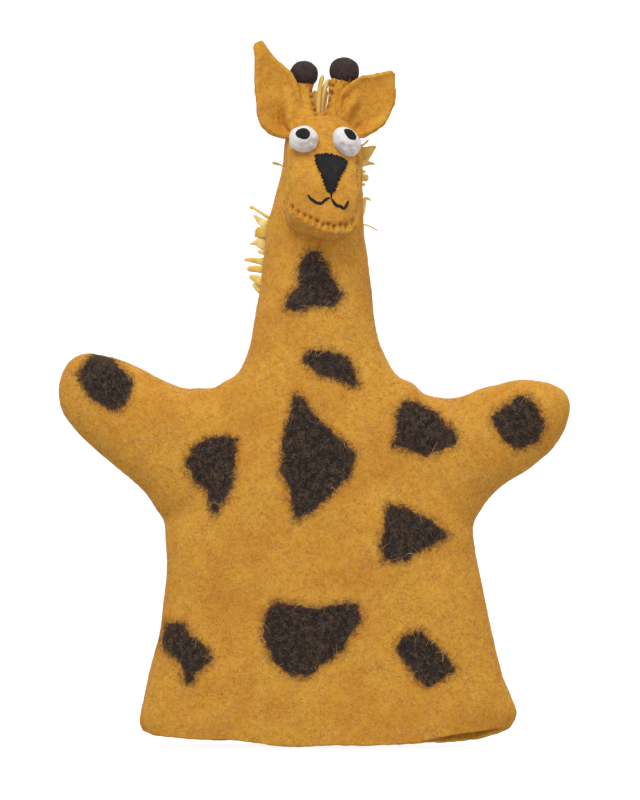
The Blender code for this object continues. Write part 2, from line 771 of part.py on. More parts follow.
def make_mane(parts, cutters, glove_clear, outer_band):
    """The band follows the back of the neck; three fringes stand out from it."""
    band = prism("mane_band", [(-11, 188), (-4, 188), (1, 258), (-6, 258)], 4, 40, parts)
    boolean(band, "INTERSECT", outer_band)
    boolean(band, "DIFFERENCE", glove_clear)
    paint(band, "mane")
    fringes = {
        "mane_crest": (((-7.5, 281), (3.0, 284)), ((-8, 262), (4, 262)), 4, (6.5, 8.5)),
        "mane_fringe_left": (((20, 256), (20, 190)), ((1.3, 256), (-3.4, 190)), 22, (17.4, 19)),
        "mane_fringe_right": (((-25, 256), (-37, 190)), ((-6.6, 256), (-11.3, 190)), 22, (17.4, 19)),
    }
    for name, (edge, base, teeth, (near, far)) in fringes.items():
        obj = prism(name, toothed(edge, base, teeth), near, far, parts)
        boolean(obj, "DIFFERENCE", glove_clear)
        paint(obj, "mane")


# ---------------------------------------------------------------- the whole puppet


def main():
    clear_scene()
    parts = make_collection("giraffe_hand_puppet")
    cutters = make_collection("cutters")
    make_materials()
    outer = glove_solid("glove_outer", 0, cutters)
    glove_clear = glove_solid("glove_clear", GAP, cutters)
    glove_proud = glove_solid("glove_proud", GAP + PATCH, cutters)
    glove_band = glove_solid("glove_band", GAP + MANE_FELT, cutters)
    muzzle_clear = muzzle_solid("muzzle_clear", GAP, cutters)
    head_clear = make_head_clear(glove_clear, muzzle_clear, cutters)
    make_glove(parts, cutters, outer)
    make_patches(parts, glove_clear, glove_proud)
    make_face(parts, cutters, glove_clear)
    make_eyes(parts, cutters, head_clear)
    make_nose_and_mouth(parts, cutters, muzzle_clear)
    make_seams(parts)
    make_ears(parts, cutters, head_clear)
    make_horns(parts, cutters, glove_clear)
    make_mane(parts, cutters, glove_clear, glove_band)


main()
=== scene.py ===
"""The looks of the giraffe hand puppet: felted wool skin, stitched face, ears, horns and fringe mane.

Lengths are in millimetres until a mesh is made. x is the puppet's left, -y its front, z up.
"""

import math
import random

import bmesh
import bpy
import numpy as np
from mathutils import Matrix, Vector, noise
from mathutils.bvhtree import BVHTree


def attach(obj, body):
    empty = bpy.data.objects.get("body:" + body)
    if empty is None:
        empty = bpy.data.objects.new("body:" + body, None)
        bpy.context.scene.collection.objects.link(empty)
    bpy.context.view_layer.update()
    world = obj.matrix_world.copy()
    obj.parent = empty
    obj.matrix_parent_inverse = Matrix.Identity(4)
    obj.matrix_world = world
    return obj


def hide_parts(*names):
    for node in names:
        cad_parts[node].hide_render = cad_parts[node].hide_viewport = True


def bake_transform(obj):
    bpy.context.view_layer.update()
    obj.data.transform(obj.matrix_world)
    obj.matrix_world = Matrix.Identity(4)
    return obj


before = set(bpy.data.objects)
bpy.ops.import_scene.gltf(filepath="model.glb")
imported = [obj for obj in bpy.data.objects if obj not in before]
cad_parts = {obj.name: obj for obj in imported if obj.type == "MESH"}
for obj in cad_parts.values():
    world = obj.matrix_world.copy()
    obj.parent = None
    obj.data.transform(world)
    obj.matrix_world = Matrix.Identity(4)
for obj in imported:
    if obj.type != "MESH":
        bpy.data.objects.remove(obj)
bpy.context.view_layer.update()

MM = 0.001
rng = random.Random(7)
draws = np.random.default_rng(7)

# ------------------------------------------------------------------ mesh helpers


def mesh_object(name, points, faces, material):
    """A new object from points in millimetres, which it also stores for its material to read."""
    mesh = bpy.data.meshes.new(name)
    mesh.from_pydata((np.asarray(points, float) * MM).tolist(), [], [list(map(int, f)) for f in faces])
    mesh.update()
    obj = bpy.data.objects.new(name, mesh)
    bpy.context.scene.collection.objects.link(obj)
    mesh.shade_smooth()
    mesh.materials.append(material)
    store_rest(obj)
    return obj


def store_number(obj, name, values):
    """A number for every vertex, which materials read by its name."""
    attribute = obj.data.attributes.new(name, "FLOAT", "POINT")
    attribute.data.foreach_set("value", np.asarray(values, np.float32))


def on_head(obj, slot, *replaced):
    """Makes an object a part of the head."""
    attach(obj, "head")
    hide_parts(*replaced)
    return obj


def store_rest(obj):
    """Keeps the places in millimetres, so that a texture follows the felt when it bends."""
    mesh = obj.data
    attribute = mesh.attributes.get("rest") or mesh.attributes.new("rest", "FLOAT_VECTOR", "POINT")
    co = np.empty(len(mesh.vertices) * 3, np.float32)
    mesh.vertices.foreach_get("co", co)
    attribute.data.foreach_set("vector", co / MM)


def get_points(obj):
    co = np.empty(len(obj.data.vertices) * 3)
    obj.data.vertices.foreach_get("co", co)
    return co.reshape(-1, 3) / MM


def set_points(obj, points):
    obj.data.vertices.foreach_set("co", (np.asarray(points) * MM).ravel())
    obj.data.update()
    store_rest(obj)


def get_normals(obj):
    normals = np.empty(len(obj.data.vertices) * 3)
    obj.data.vertices.foreach_get("normal", normals)
    return normals.reshape(-1, 3)


def apply_modifiers(obj):
    bpy.context.view_layer.update()
    graph = bpy.context.evaluated_depsgraph_get()
    mesh = bpy.data.meshes.new_from_object(obj.evaluated_get(graph), depsgraph=graph)
    old = obj.data
    obj.modifiers.clear()
    obj.data = mesh
    mesh.name = old.name
    bpy.data.meshes.remove(old)
    return obj


def remesh(obj, size):
    modifier = obj.modifiers.new("remesh", "REMESH")
    modifier.mode = "VOXEL"
    modifier.voxel_size = size * MM
    modifier.use_smooth_shade = True
    return apply_modifiers(obj)


def thicken(obj, thickness, offset):
    """A wall of felt; with offset -1 all of it lies inside the surface, and with 0 half does."""
    wall = obj.modifiers.new("wall", "SOLIDIFY")
    wall.thickness = thickness * MM
    wall.offset = offset
    return apply_modifiers(obj)


def relax(obj, times, mask=None, keep_size=True):
    """Smooths the surface; with keep_size every second step pushes back out, so the shape doesn't shrink."""
    points = get_points(obj)
    count = len(points)
    ends = np.empty(len(obj.data.edges) * 2, np.int32)
    obj.data.edges.foreach_get("vertices", ends)
    a, b = ends.reshape(-1, 2).T
    degree = np.bincount(ends, minlength=count).astype(float)[:, None]
    degree[degree == 0] = 1
    for step in range(times):
        total = np.zeros_like(points)
        for axis in range(3):
            total[:, axis] = np.bincount(a, points[b, axis], count) + np.bincount(b, points[a, axis], count)
        move = total / degree - points
        move *= -0.52 if keep_size and step % 2 else 0.5
        points = points + (move if mask is None else move * mask[:, None])
    set_points(obj, points)


def rings_mesh(rings, cap=True):
    """Points and faces of a tube through rings of equal count."""
    count = len(rings[0])
    points = [p for ring in rings for p in ring]
    faces = []
    for start in range(0, len(points) - count, count):
        for k in range(count):
            n = (k + 1) % count
            faces.append((start + k, start + n, start + count + n, start + count + k))
    if cap:
        faces.append(tuple(reversed(range(count))))
        faces.append(tuple(range(len(points) - count, len(points))))
    return points, faces


def merged(parts):
    """One (points, faces) from several."""
    points, faces = [], []
    for p, f in parts:
        start = len(points)
        points.extend(p)
        faces.extend(tuple(i + start for i in face) for face in f)
    return points, faces


def outwards(obj):
    """Turns every face to look out."""
    bm = bmesh.new()
    bm.from_mesh(obj.data)
    bmesh.ops.recalc_face_normals(bm, faces=bm.faces)
    bm.to_mesh(obj.data)
    bm.free()
    return obj


def tree_of(*objects):
    parts = [(get_points(obj).tolist(), [tuple(p.vertices) for p in obj.data.polygons]) for obj in objects]
    return BVHTree.FromPolygons(*merged(parts))


def segment_distance(points, a, b):
    """Each point's distance from the segment."""
    a, b = np.asarray(a, float), np.asarray(b, float)
    line = b - a
    share = np.clip((points - a) @ line / max(line @ line, 1e-9), 0, 1)
    return np.linalg.norm(points - a - share[:, None] * line, axis=1)


def press(obj, marks):
    """Sculpts: each mark is (points of a line, radius, depth), pressed in along the surface's normal."""
    points, normals = get_points(obj), get_normals(obj)
    depth = np.zeros(len(points))
    for line, radius, deep in marks:
        near = np.full(len(points), 1e9)
        for a, b in zip(line, line[1:] or line):
            near = np.minimum(near, segment_distance(points, a, b))
        depth += deep * np.exp(-((near / radius) ** 2))
    set_points(obj, points - normals * depth[:, None])


def undulate(obj, size, height, seed=0.0, mask=None):
    """Soft hand-felted unevenness: waves of about this size in mm."""
    points, normals = get_points(obj), get_normals(obj)
    shift = Vector((seed * 13.1, seed * 7.7, seed * 3.3))
    push = np.array([noise.noise(Vector(p) / size + shift) for p in points]) * height
    if mask is not None:
        push *= mask
    set_points(obj, points + normals * push[:, None])


def catmull(points, steps):
    """A smooth line through points."""
    points = [Vector(p) for p in points]
    ends = [points[0] * 2 - points[1], *points, points[-1] * 2 - points[-2]]
    line = []
    for i in range(1, len(ends) - 2):
        p0, p1, p2, p3 = ends[i - 1 : i + 3]
        for k in range(steps):
            t = k / steps
            square, cube = (2 * p0 - 5 * p1 + 4 * p2 - p3) * t * t, (3 * p1 - p0 - 3 * p2 + p3) * t**3
            line.append(0.5 * ((2 * p1) + (p2 - p0) * t + square + cube))
    line.append(points[-1])
    return line


def heading_at(line, i):
    """The direction of a line at one of its points."""
    return (line[min(i + 1, len(line) - 1)] - line[max(i - 1, 0)]).normalized()


def tube(line, radii, sides):
    """Points and faces of a round strand along a line, with a radius at each point."""
    turns = [2 * math.pi * k / sides for k in range(sides)]
    rings = []
    for i, (p, r) in enumerate(zip(line, radii)):
        side = heading_at(line, i).orthogonal().normalized()
        other = heading_at(line, i).cross(side)
        rings.append([p + (side * math.cos(t) + other * math.sin(t)) * r for t in turns])
    return rings_mesh(rings)


def thread(line, radius, sides=7):
    """A sewing thread, drawn in at both ends."""
    return tube(line, [radius * (0.55 if i in (0, len(line) - 1) else 1.0) for i in range(len(line))], sides)


def ribbon(line, widths, thick, facing, sides=8, taper=0.25, tip=0.35, twist=0.0):
    """A flattened strand along a line, with a width at each point; facing is where its flat side looks."""
    rings = []
    for i, (p, width) in enumerate(zip(line, widths)):
        ahead = heading_at(line, i)
        flat = Vector(facing)
        flat = (flat - ahead * flat.dot(ahead)).normalized()
        across = ahead.cross(flat)
        share = i / (len(line) - 1)
        c, s = math.cos(twist * share), math.sin(twist * share)
        flat, across = flat * c + across * s, across * c - flat * s
        size = 1.0
        if share > 1 - taper:
            size = tip + (1 - tip) * math.sqrt(max(0.0, 1 - ((share - 1 + taper) / taper) ** 2))
        ring = []
        for k in range(sides):
            angle = 2 * math.pi * k / sides
            lift = flat * math.sin(angle) * thick / 2 * size
            ring.append(p + across * math.cos(angle) * width / 2 * size + lift)
        rings.append(ring)
    return rings_mesh(rings)


# ------------------------------------------------------------------ materials


class Nodes:
    """Short names for building a node tree."""

    def __init__(self, name):
        self.material = bpy.data.materials.new(name)
        self.material.use_nodes = True
        self.tree = self.material.node_tree
        self.shader = self.tree.nodes["Principled BSDF"]

    def add(self, kind, inputs=(), **settings):
        """A node; inputs are (socket, value) with a number, a colour or another node's output."""
        node = self.tree.nodes.new(kind)
        for key, value in settings.items():
            setattr(node, key, value)
        for key, value in inputs:
            self.put(node.inputs[key], value)
        return node

    def put(self, slot, value):
        if isinstance(value, (int, float)):
            slot.default_value = value
        elif isinstance(value, tuple):
            slot.default_value = (*value, 1) if slot.type == "RGBA" else value
        else:
            self.tree.links.new(value, slot)

    def shade(self, **values):
        """Sets the shader's sockets, named with underscores for spaces."""
        for key, value in values.items():
            self.put(self.shader.inputs[key.replace("_", " ")], value)

    def math(self, operation, a, b=None):
        inputs = [(0, a)] if b is None else [(0, a), (1, b)]
        return self.add("ShaderNodeMath", inputs, operation=operation).outputs[0]

    def times(self, a, b):
        return self.math("MULTIPLY", a, b)

    def plus(self, a, b):
        return self.math("ADD", a, b)

    def attribute(self, name, output="Fac"):
        return self.add("ShaderNodeAttribute", attribute_name=name).outputs[output]

    def noise(self, where, scale, detail, rough, distortion=0.0, output="Fac"):
        inputs = [("Vector", where), ("Scale", scale), ("Detail", detail), ("Roughness", rough)]
        inputs += [("Lacunarity", 2.0), ("Distortion", distortion)]
        return self.add("ShaderNodeTexNoise", inputs, noise_type="FBM", normalize=True).outputs[output]

    def ramp(self, value, low, high, out_low=0.0, out_high=1.0):
        inputs = [("Value", value), ("From Min", low), ("From Max", high)]
        inputs += [("To Min", out_low), ("To Max", out_high)]
        return self.add("ShaderNodeMapRange", inputs, interpolation_type="SMOOTHSTEP").outputs["Result"]

    def mix(self, factor, a, b):
        inputs = [(0, factor), (6, a), (7, b)]
        return self.add("ShaderNodeMix", inputs, data_type="RGBA", blend_type="MIX").outputs[2]

    def bump(self, height, strength, distance):
        inputs = [("Height", height), ("Strength", strength), ("Distance", distance * MM)]
        return self.add("ShaderNodeBump", inputs).outputs["Normal"]


def felt_material(name, dark, mid, light, speck, patches=False, sheen=0.35, fine=1.0, contrast=1.0, bump=1.0):
    """Matted wool: curly fibres, cloudy density and small specks, all from the rest position."""
    n = Nodes(name)
    where = n.attribute("rest", "Vector")

    def warped(source, amount):
        """The rest position, pushed about by a noise so that what follows comes out curly."""
        inputs = [(0, source), (1, tuple(a / fine for a in amount)), (2, where)]
        return n.add("ShaderNodeVectorMath", inputs, operation="MULTIPLY_ADD").outputs[0]

    def hairs(place, frequency, width):
        """Fine lines that wander: where a noise crosses its middle value."""
        wave = n.noise(place, frequency * fine, 2, 0.5, 0.8)
        return n.ramp(n.math("ABSOLUTE", n.math("SUBTRACT", wave, 0.5)), 0.0, width, 1.0, 0.0)

    warp = n.noise(where, 0.42 * fine, 2, 0.6, output="Color")
    bent = warped(warp, (3.4, 3.2, 3.4))
    bent2 = warped(warp, (-3.0, 3.4, 3.1))
    bent3 = warped(n.noise(where, 0.6 * fine, 2, 0.6, output="Color"), (2.4, -2.2, 2.4))
    curls = n.noise(bent, 0.62 * fine, 4, 0.70, 0.6)
    pale = hairs(bent2, 0.34, 0.075)
    pale2 = hairs(bent, 0.52, 0.080)
    deep = hairs(bent3, 0.30, 0.060)
    cloud = n.noise(where, 0.045, 3, 0.55)
    lumps = n.noise(where, 0.15, 3, 0.55)
    specks = n.noise(bent, 0.36, 2, 0.5)
    colour = n.mix(n.ramp(curls, 0.5 - 0.2 / contrast, 0.5 + 0.2 / contrast), dark, light)
    colour = n.mix(0.40, colour, mid)
    for mask, share, tint in (
        (deep, 0.50, speck),
        (pale, 0.55, light),
        (pale2, 0.45, light),
        (n.ramp(specks, 0.60, 0.74), 0.45, speck),
        (n.ramp(cloud, 0.38, 0.68), 0.36, speck),
        (n.ramp(lumps, 0.42, 0.72), 0.25, light),
    ):
        colour = n.mix(n.times(mask, share), colour, tint)
    height = n.plus(n.times(curls, 0.6), n.times(n.plus(pale, pale2), 0.3))
    if patches:
        edge = n.attribute("patch")
        for wobble in (curls, specks, lumps):
            edge = n.plus(edge, n.times(n.math("SUBTRACT", wobble, 0.5), 3.0))
        cover = n.ramp(edge, -0.9, 1.0)
        # single dark hairs run out past the edge, and gold ones run in over it
        strays = n.times(n.math("MAXIMUM", deep, n.times(pale2, 0.8)), n.ramp(edge, -3.4, -0.2))
        wool = n.mix(n.ramp(curls, 0.34, 0.66), PATCH_DEEP, PATCH_LIGHT)
        wool = n.mix(n.times(n.ramp(specks, 0.5, 0.66), 0.6), wool, PATCH_PURPLE)
        gold = n.math("MAXIMUM", hairs(bent3, 0.60, 0.060), hairs(bent2, 0.85, 0.060))
        gold = n.times(gold, n.ramp(n.noise(bent, 0.45, 1, 0.5), 0.42, 0.58))
        wool = n.mix(n.times(gold, n.ramp(lumps, 0.35, 0.65, 0.45, 0.80)), wool, PATCH_GOLD)
        wool = n.mix(n.ramp(edge, 0.6, 2.6, 0.45, 0.0), wool, PATCH_EDGE)
        colour = n.mix(n.times(n.ramp(edge, -4.0, 0.4), 0.22), colour, PATCH_HALO)
        colour = n.mix(n.times(strays, 0.66), colour, PATCH_EDGE)
        colour = n.mix(cover, colour, wool)
        height = n.plus(height, n.times(cover, 0.35))
    n.shade(Base_Color=colour, Normal=n.bump(height, 0.5 * bump, 0.34), Roughness=0.95)
    n.shade(Specular_IOR_Level=0.15, Sheen_Weight=sheen, Sheen_Roughness=0.45, Sheen_Tint=light)
    return n.material


def strand_material(name, colours):
    """Fibre or thread: its colour goes by the strand's own random number."""
    n = Nodes(name)
    ramp = n.add("ShaderNodeValToRGB", [(0, n.attribute("tone"))])
    elements = ramp.color_ramp.elements
    while len(elements) < len(colours):
        elements.new(0.5)
    for k, colour in enumerate(colours):
        elements[k].position = k / (len(colours) - 1)
        elements[k].color = (*colour, 1)
    grain = n.noise(n.attribute("rest", "Vector"), 1.6, 3, 0.6, 0.8)
    colour = n.mix(n.ramp(grain, 0.35, 0.65, 0.0, 0.35), ramp.outputs[0], colours[0])
    n.shade(Base_Color=colour, Normal=n.bump(grain, 0.5, 0.15), Roughness=0.75, Specular_IOR_Level=0.2)
    n.shade(Sheen_Weight=0.3, Sheen_Tint=colours[-1])
    return n.material


# Colours, linear
OCHRE_DARK = (0.420, 0.162, 0.013)
OCHRE = (0.530, 0.242, 0.024)
OCHRE_LIGHT = (0.690, 0.380, 0.058)
OCHRE_SPECK = (0.440, 0.145, 0.010)
PATCH_DEEP = (0.005, 0.005, 0.006)
PATCH_LIGHT = (0.024, 0.018, 0.016)
PATCH_PURPLE = (0.022, 0.013, 0.015)
PATCH_GOLD = (0.125, 0.080, 0.045)
PATCH_EDGE = (0.052, 0.022, 0.019)
PATCH_HALO = (0.270, 0.105, 0.014)

SKIN = felt_material("felted_skin", OCHRE_DARK, OCHRE, OCHRE_LIGHT, OCHRE_SPECK, patches=True)
FELT = felt_material("ochre_felt", OCHRE_DARK, OCHRE, OCHRE_LIGHT, OCHRE_SPECK)
BALL_WOOL = [(0.008, 0.006, 0.006), (0.020, 0.014, 0.014), (0.062, 0.044, 0.042), (0.046, 0.020, 0.020)]
WHITE_WOOL = [(0.60, 0.58, 0.60), (0.70, 0.68, 0.70), (0.80, 0.78, 0.79), (0.66, 0.62, 0.63)]
BLACK_WOOL = [(0.004, 0.004, 0.004), (0.009, 0.009, 0.009), (0.030, 0.030, 0.029), (0.006, 0.008, 0.010)]
BALL = felt_material("dark_ball", *BALL_WOOL, fine=1.3)
WHITE = felt_material("white_wool", *WHITE_WOOL, fine=1.3, contrast=0.6, bump=0.5)
BLACK = felt_material("black_felt", *BLACK_WOOL, fine=1.8, sheen=0.1)
MANE = strand_material(
    "mane_felt", [(0.66, 0.41, 0.070), (0.80, 0.56, 0.13), (0.86, 0.65, 0.20), (0.90, 0.75, 0.34)]
)
THREAD = strand_material("ochre_thread", [(0.34, 0.135, 0.012), (0.46, 0.20, 0.022)])
BLACK_THREAD = strand_material("black_thread", [(0.006, 0.006, 0.006), (0.018, 0.018, 0.017)])
FIBRE_GOLD = strand_material("gold_fibres", [(0.54, 0.26, 0.045), (0.68, 0.38, 0.095), (0.80, 0.57, 0.27)])
FIBRE_OLIVE = strand_material(
    "olive_fibres", [(0.070, 0.042, 0.030), (0.130, 0.088, 0.048), (0.210, 0.150, 0.080)]
)
FIBRE_DARK = strand_material(
    "dark_fibres", [(0.022, 0.015, 0.012), (0.075, 0.042, 0.022), (0.16, 0.08, 0.03)]
)

LENS = 240
SENSOR = 36
FRAME_HEIGHT = 340.4  # mm of the object's middle plane that fill the picture's height
VIEWPOINT = Vector((-3.6, -FRAME_HEIGHT * LENS / SENSOR, 146.8))

# ------------------------------------------------------------------ the glove's shape

# Body and neck: height, right edge, left edge, half depth
COLUMN = np.array([
    (0, -77.5, 76.0, 23.0),
    (12, -79.5, 78.5, 23.0),
    (30, -76.5, 74.0, 22.5),
    (50, -71.5, 68.5, 22.0),
    (75, -68.5, 63.0, 22.0),
    (95, -66.5, 59.5, 21.5),
    (120, -61.0, 53.0, 21.0),
    (140, -53.5, 43.0, 20.0),
    (150, -47.0, 36.5, 19.0),
    (160, -37.5, 27.0, 18.0),
    (170, -33.3, 21.8, 17.5),
    (185, -30.5, 18.9, 17.0),
    (205, -28.3, 16.5, 16.5),
    (220, -26.0, 15.0, 16.0),
    (235, -21.5, 14.3, 15.5),
    (248, -18.7, 14.3, 15.0),
    (258, -18.0, 13.8, 13.5),
    (264, -15.5, 11.3, 11.0),
    (268, -11.0, 7.0, 7.0),
    (270, -4.0, 0.0, 2.0),
])

ARMS = {
    "right": {
        "tip": Vector((-94.5, 0, 146.0)),
        "out": Vector((-math.cos(math.radians(32)), 0, math.sin(math.radians(32)))),
        "reach": 20.5,
        "rings": [(-60, 21, 13), (-50, 27.5, 15), (-34, 25, 15), (-25, 22.7, 15), (-14, 20.4, 14.6),
                  (-5, 19.4, 14.2), (0, 19, 14)],
        "fold": (-34, -22, -6),
    },
    "left": {
        "tip": Vector((82.5, 0, 137.5)),
        "out": Vector((math.cos(math.radians(28)), 0, math.sin(math.radians(28)))),
        "reach": 21.0,
        "rings": [(-50, 21, 13), (-41, 28, 15), (-31, 24.7, 15), (-22, 22.2, 15), (-12, 20.2, 14.6),
                  (-4, 18.8, 14.2), (0, 18.2, 14)],
        "fold": (-31, -19, -4),
    },
}
NECK = (156, 171, 186)  # where the neck starts to bend, its joint's middle, and where it ends
FELT_WALL = 3.2
ROUND = 2.3  # superellipse power of the cross-sections
GLOVE_VOXEL = 1.7
COLUMN_RINGS, COLUMN_SIDES = 120, 72
ARM_RINGS, TIP_RINGS, ARM_SIDES = 34, 16, 48
CROOKS = [(-72, 99), (-57, 152), (64, 99), (51, 148)]  # where arms meet the body, as (across, up)


def smooth_at(stations, where):
    """The stations' other values at this key, along a smooth curve through them."""
    last = len(stations) - 1
    i = max(k for k in range(last) if k == 0 or stations[k][0] <= where)
    before, here, there, after = (stations[min(max(i + k, 0), last)] for k in (-1, 0, 1, 2))
    span = there[0] - here[0]
    t = min(max((where - here[0]) / span, 0), 1)
    values = []
    for k in range(1, len(here)):
        slope_in = (there[k] - before[k]) / (there[0] - before[0]) * span
        slope_out = (after[k] - here[k]) / (after[0] - here[0]) * span
        values.append(
            here[k] * (1 + 2 * t) * (1 - t) ** 2
            + slope_in * t * (1 - t) ** 2
            + there[k] * t * t * (3 - 2 * t)
            + slope_out * t * t * (t - 1)
        )
    return values


def superellipse(angle, half_x, half_y):
    c, s = math.cos(angle), math.sin(angle)
    return half_x * math.copysign(abs(c) ** (2 / ROUND), c), half_y * math.copysign(abs(s) ** (2 / ROUND), s)


def column_at(height):
    """The body's or neck's middle, half width and half depth."""
    right, left, depth = smooth_at(COLUMN, height)
    return (left + right) / 2, (left - right) / 2, depth


def column_point(height, angle, grow=0.0):
    middle, half, depth = column_at(height)
    x, y = superellipse(angle, half + grow, depth + grow)
    return Vector((middle + x, y, height))


def arm_across(arm):
    out = arm["out"]
    return Vector((-out.z, 0, out.x)) * math.copysign(1, out.x)


def arm_mesh(arm):
    """A tube along the stations, closed by a rounded tip."""
    stations = arm["rings"]
    first = stations[0][0]
    rings = []
    for k in range(ARM_RINGS):
        s = first + (0 - first) * k / (ARM_RINGS - 1)
        rings.append((s, *smooth_at(stations, s)))
    height, depth = stations[-1][1:]
    for k in range(1, TIP_RINGS):
        turn = math.pi / 2 * k / TIP_RINGS
        rings.append((arm["reach"] * math.sin(turn), height * math.cos(turn), depth * math.cos(turn)))
    made = []
    for s, half, deep in rings:
        ring = []
        for k in range(ARM_SIDES):
            up, y = superellipse(2 * math.pi * k / ARM_SIDES, half, deep)
            ring.append(arm["tip"] + arm["out"] * s + arm_across(arm) * up + Vector((0, y, 0)))
        made.append(ring)
    return rings_mesh(made)


# Where hand felting pulled the outline about: (across, up), the shift and its reach
NUDGES = [
    (-106, 156, -0.9, 3.7, 14), (-108, 136, 1.3, 1.2, 10), (-91, 121, 0, -0.6, 10),
    (-41, 157, 0, -1.4, 7), (-80, 106, 0.6, 0.5, 9), (-93, 167, 0, -1.5, 9), (-62, 152, 0, -0.5, 7),
    (-48.5, 152, 0, 3.2, 9),
    (40, 149.5, 0, 5.2, 10), (31, 155, -0.6, -1.1, 7), (65, 151, 0, 0.6, 9), (-70, 91, -3.0, 0, 14),
    (-70, 98, -0.7, 0, 9),
    (-69, 79, 0.8, 0, 12), (61, 91, 1.2, 0, 12), (73, 108, -0.8, 2.4, 14), (99, 132, -1.0, 0.7, 9),
    (83, 119, 0.3, -0.9, 9), (100, 148, 0.6, 0.9, 9),
    (90, 156, 0, -1.3, 10), (19, 190, 0.4, 0, 20), (-32, 172, -0.5, 0, 12), (-22, 240, -0.8, 0, 16),
    (-79, 19, 0.3, 0, 10),
    (-77, 4, -2.4, 0, 7), (77, 5, 2.4, 0, 7), (78, 18, 0.3, 0, 10), (68, 53, 0.3, 0, 14),
    (71, 40, -0.5, 0, 10), (-74, 44, -0.4, 0, 12),
]


def glove_form():
    """The closed outer form: body, neck and both arms grown into one skin."""
    rings = []
    for k in range(COLUMN_RINGS):
        height = -6 + 275.6 * math.sin(math.pi / 2 * k / (COLUMN_RINGS - 1)) ** 0.9
        below_hem = Vector((0, 0, min(height, 0)))
        turns = [2 * math.pi * i / COLUMN_SIDES for i in range(COLUMN_SIDES)]
        rings.append([column_point(max(height, 0), turn) + below_hem for turn in turns])
    parts = [rings_mesh(rings), arm_mesh(ARMS["right"]), arm_mesh(ARMS["left"])]
    obj = outwards(mesh_object("glove", *merged(parts), SKIN))
    remesh(obj, GLOVE_VOXEL)
    relax(obj, 26)
    points = get_points(obj)
    crook = np.zeros(len(points))
    for x, z in CROOKS:
        away = np.hypot(points[:, 0] - x, points[:, 2] - z)
        crook = np.maximum(crook, np.exp(-((away / 12) ** 2)))
    relax(obj, 24, crook, keep_size=False)
    points = get_points(obj)
    for x, z, dx, dz, reach in NUDGES:
        weight = np.exp(-((points[:, 0] - x) ** 2 + (points[:, 2] - z) ** 2) / reach**2)
        points[:, 0] += dx * weight
        points[:, 2] += dz * weight
    set_points(obj, points)
    return obj


def make_glove():
    """The form cut open at the hem, one wall of felt thick, with a slightly wavy raw edge."""
    obj = glove_form()
    bm = bmesh.new()
    bm.from_mesh(obj.data)
    everything = [*bm.verts, *bm.edges, *bm.faces]
    bmesh.ops.bisect_plane(bm, geom=everything, plane_co=(0, 0, 0), plane_no=(0, 0, 1), clear_inner=True)
    bm.to_mesh(obj.data)
    bm.free()
    store_rest(obj)
    shape_hem(obj)
    away_from_hem = np.clip(get_points(obj)[:, 2] / 12, 0.25, 1)
    undulate(obj, 26, 1.1, 1, away_from_hem)
    undulate(obj, 9, 0.35, 2)
    thicken(obj, FELT_WALL, -1)
    points = get_points(obj)
    rim = np.exp(-((points[:, 2] / 2.5) ** 2))
    jitter = np.array([noise.noise(Vector(p) / 3.0) for p in points]) * 0.5
    points[:, 2] += rim * jitter
    set_points(obj, points)
    return obj


def shape_hem(obj):
    """The raw edge isn't level: both corners lift, and the front layer lifts most at the puppet's left."""
    points = get_points(obj)
    x, y, z = points.T
    near = np.clip(1 - z / 40, 0, 1) ** 1.6
    front = 1 / (1 + np.exp(y / 3.0))
    at_front = np.interp(
        x,
        [-79, -74, -63, -42, -33, -21, 0, 15, 26, 35, 47, 60, 73, 79],
        [6.0, 4.3, 4.0, 3.3, 2.1, 0.9, 1.3, 0.9, 1.7, 2.5, 4.3, 6.0, 8.0, 9.0],
    )
    at_back = np.interp(x, [-79, -60, -20, 30, 50, 63, 73, 79], [5.6, 1.8, 0.2, 0.0, 0.2, 1.4, 5.0, 7.6])
    points[:, 2] += near * (front * at_front + (1 - front) * at_back + 0.35 * np.sin(x / 7))
    points[:, 1] += near * (1 - 2 * front) * np.sin(x / 21 + 0.6)
    # the back layer hangs forward at the puppet's left, so that its edge shows under the front one
    points[:, 1] -= near * (1 - front) * 10 * np.exp(-(((x - 44) / 24) ** 2))
    set_points(obj, points)


# ------------------------------------------------------------------ dark patches

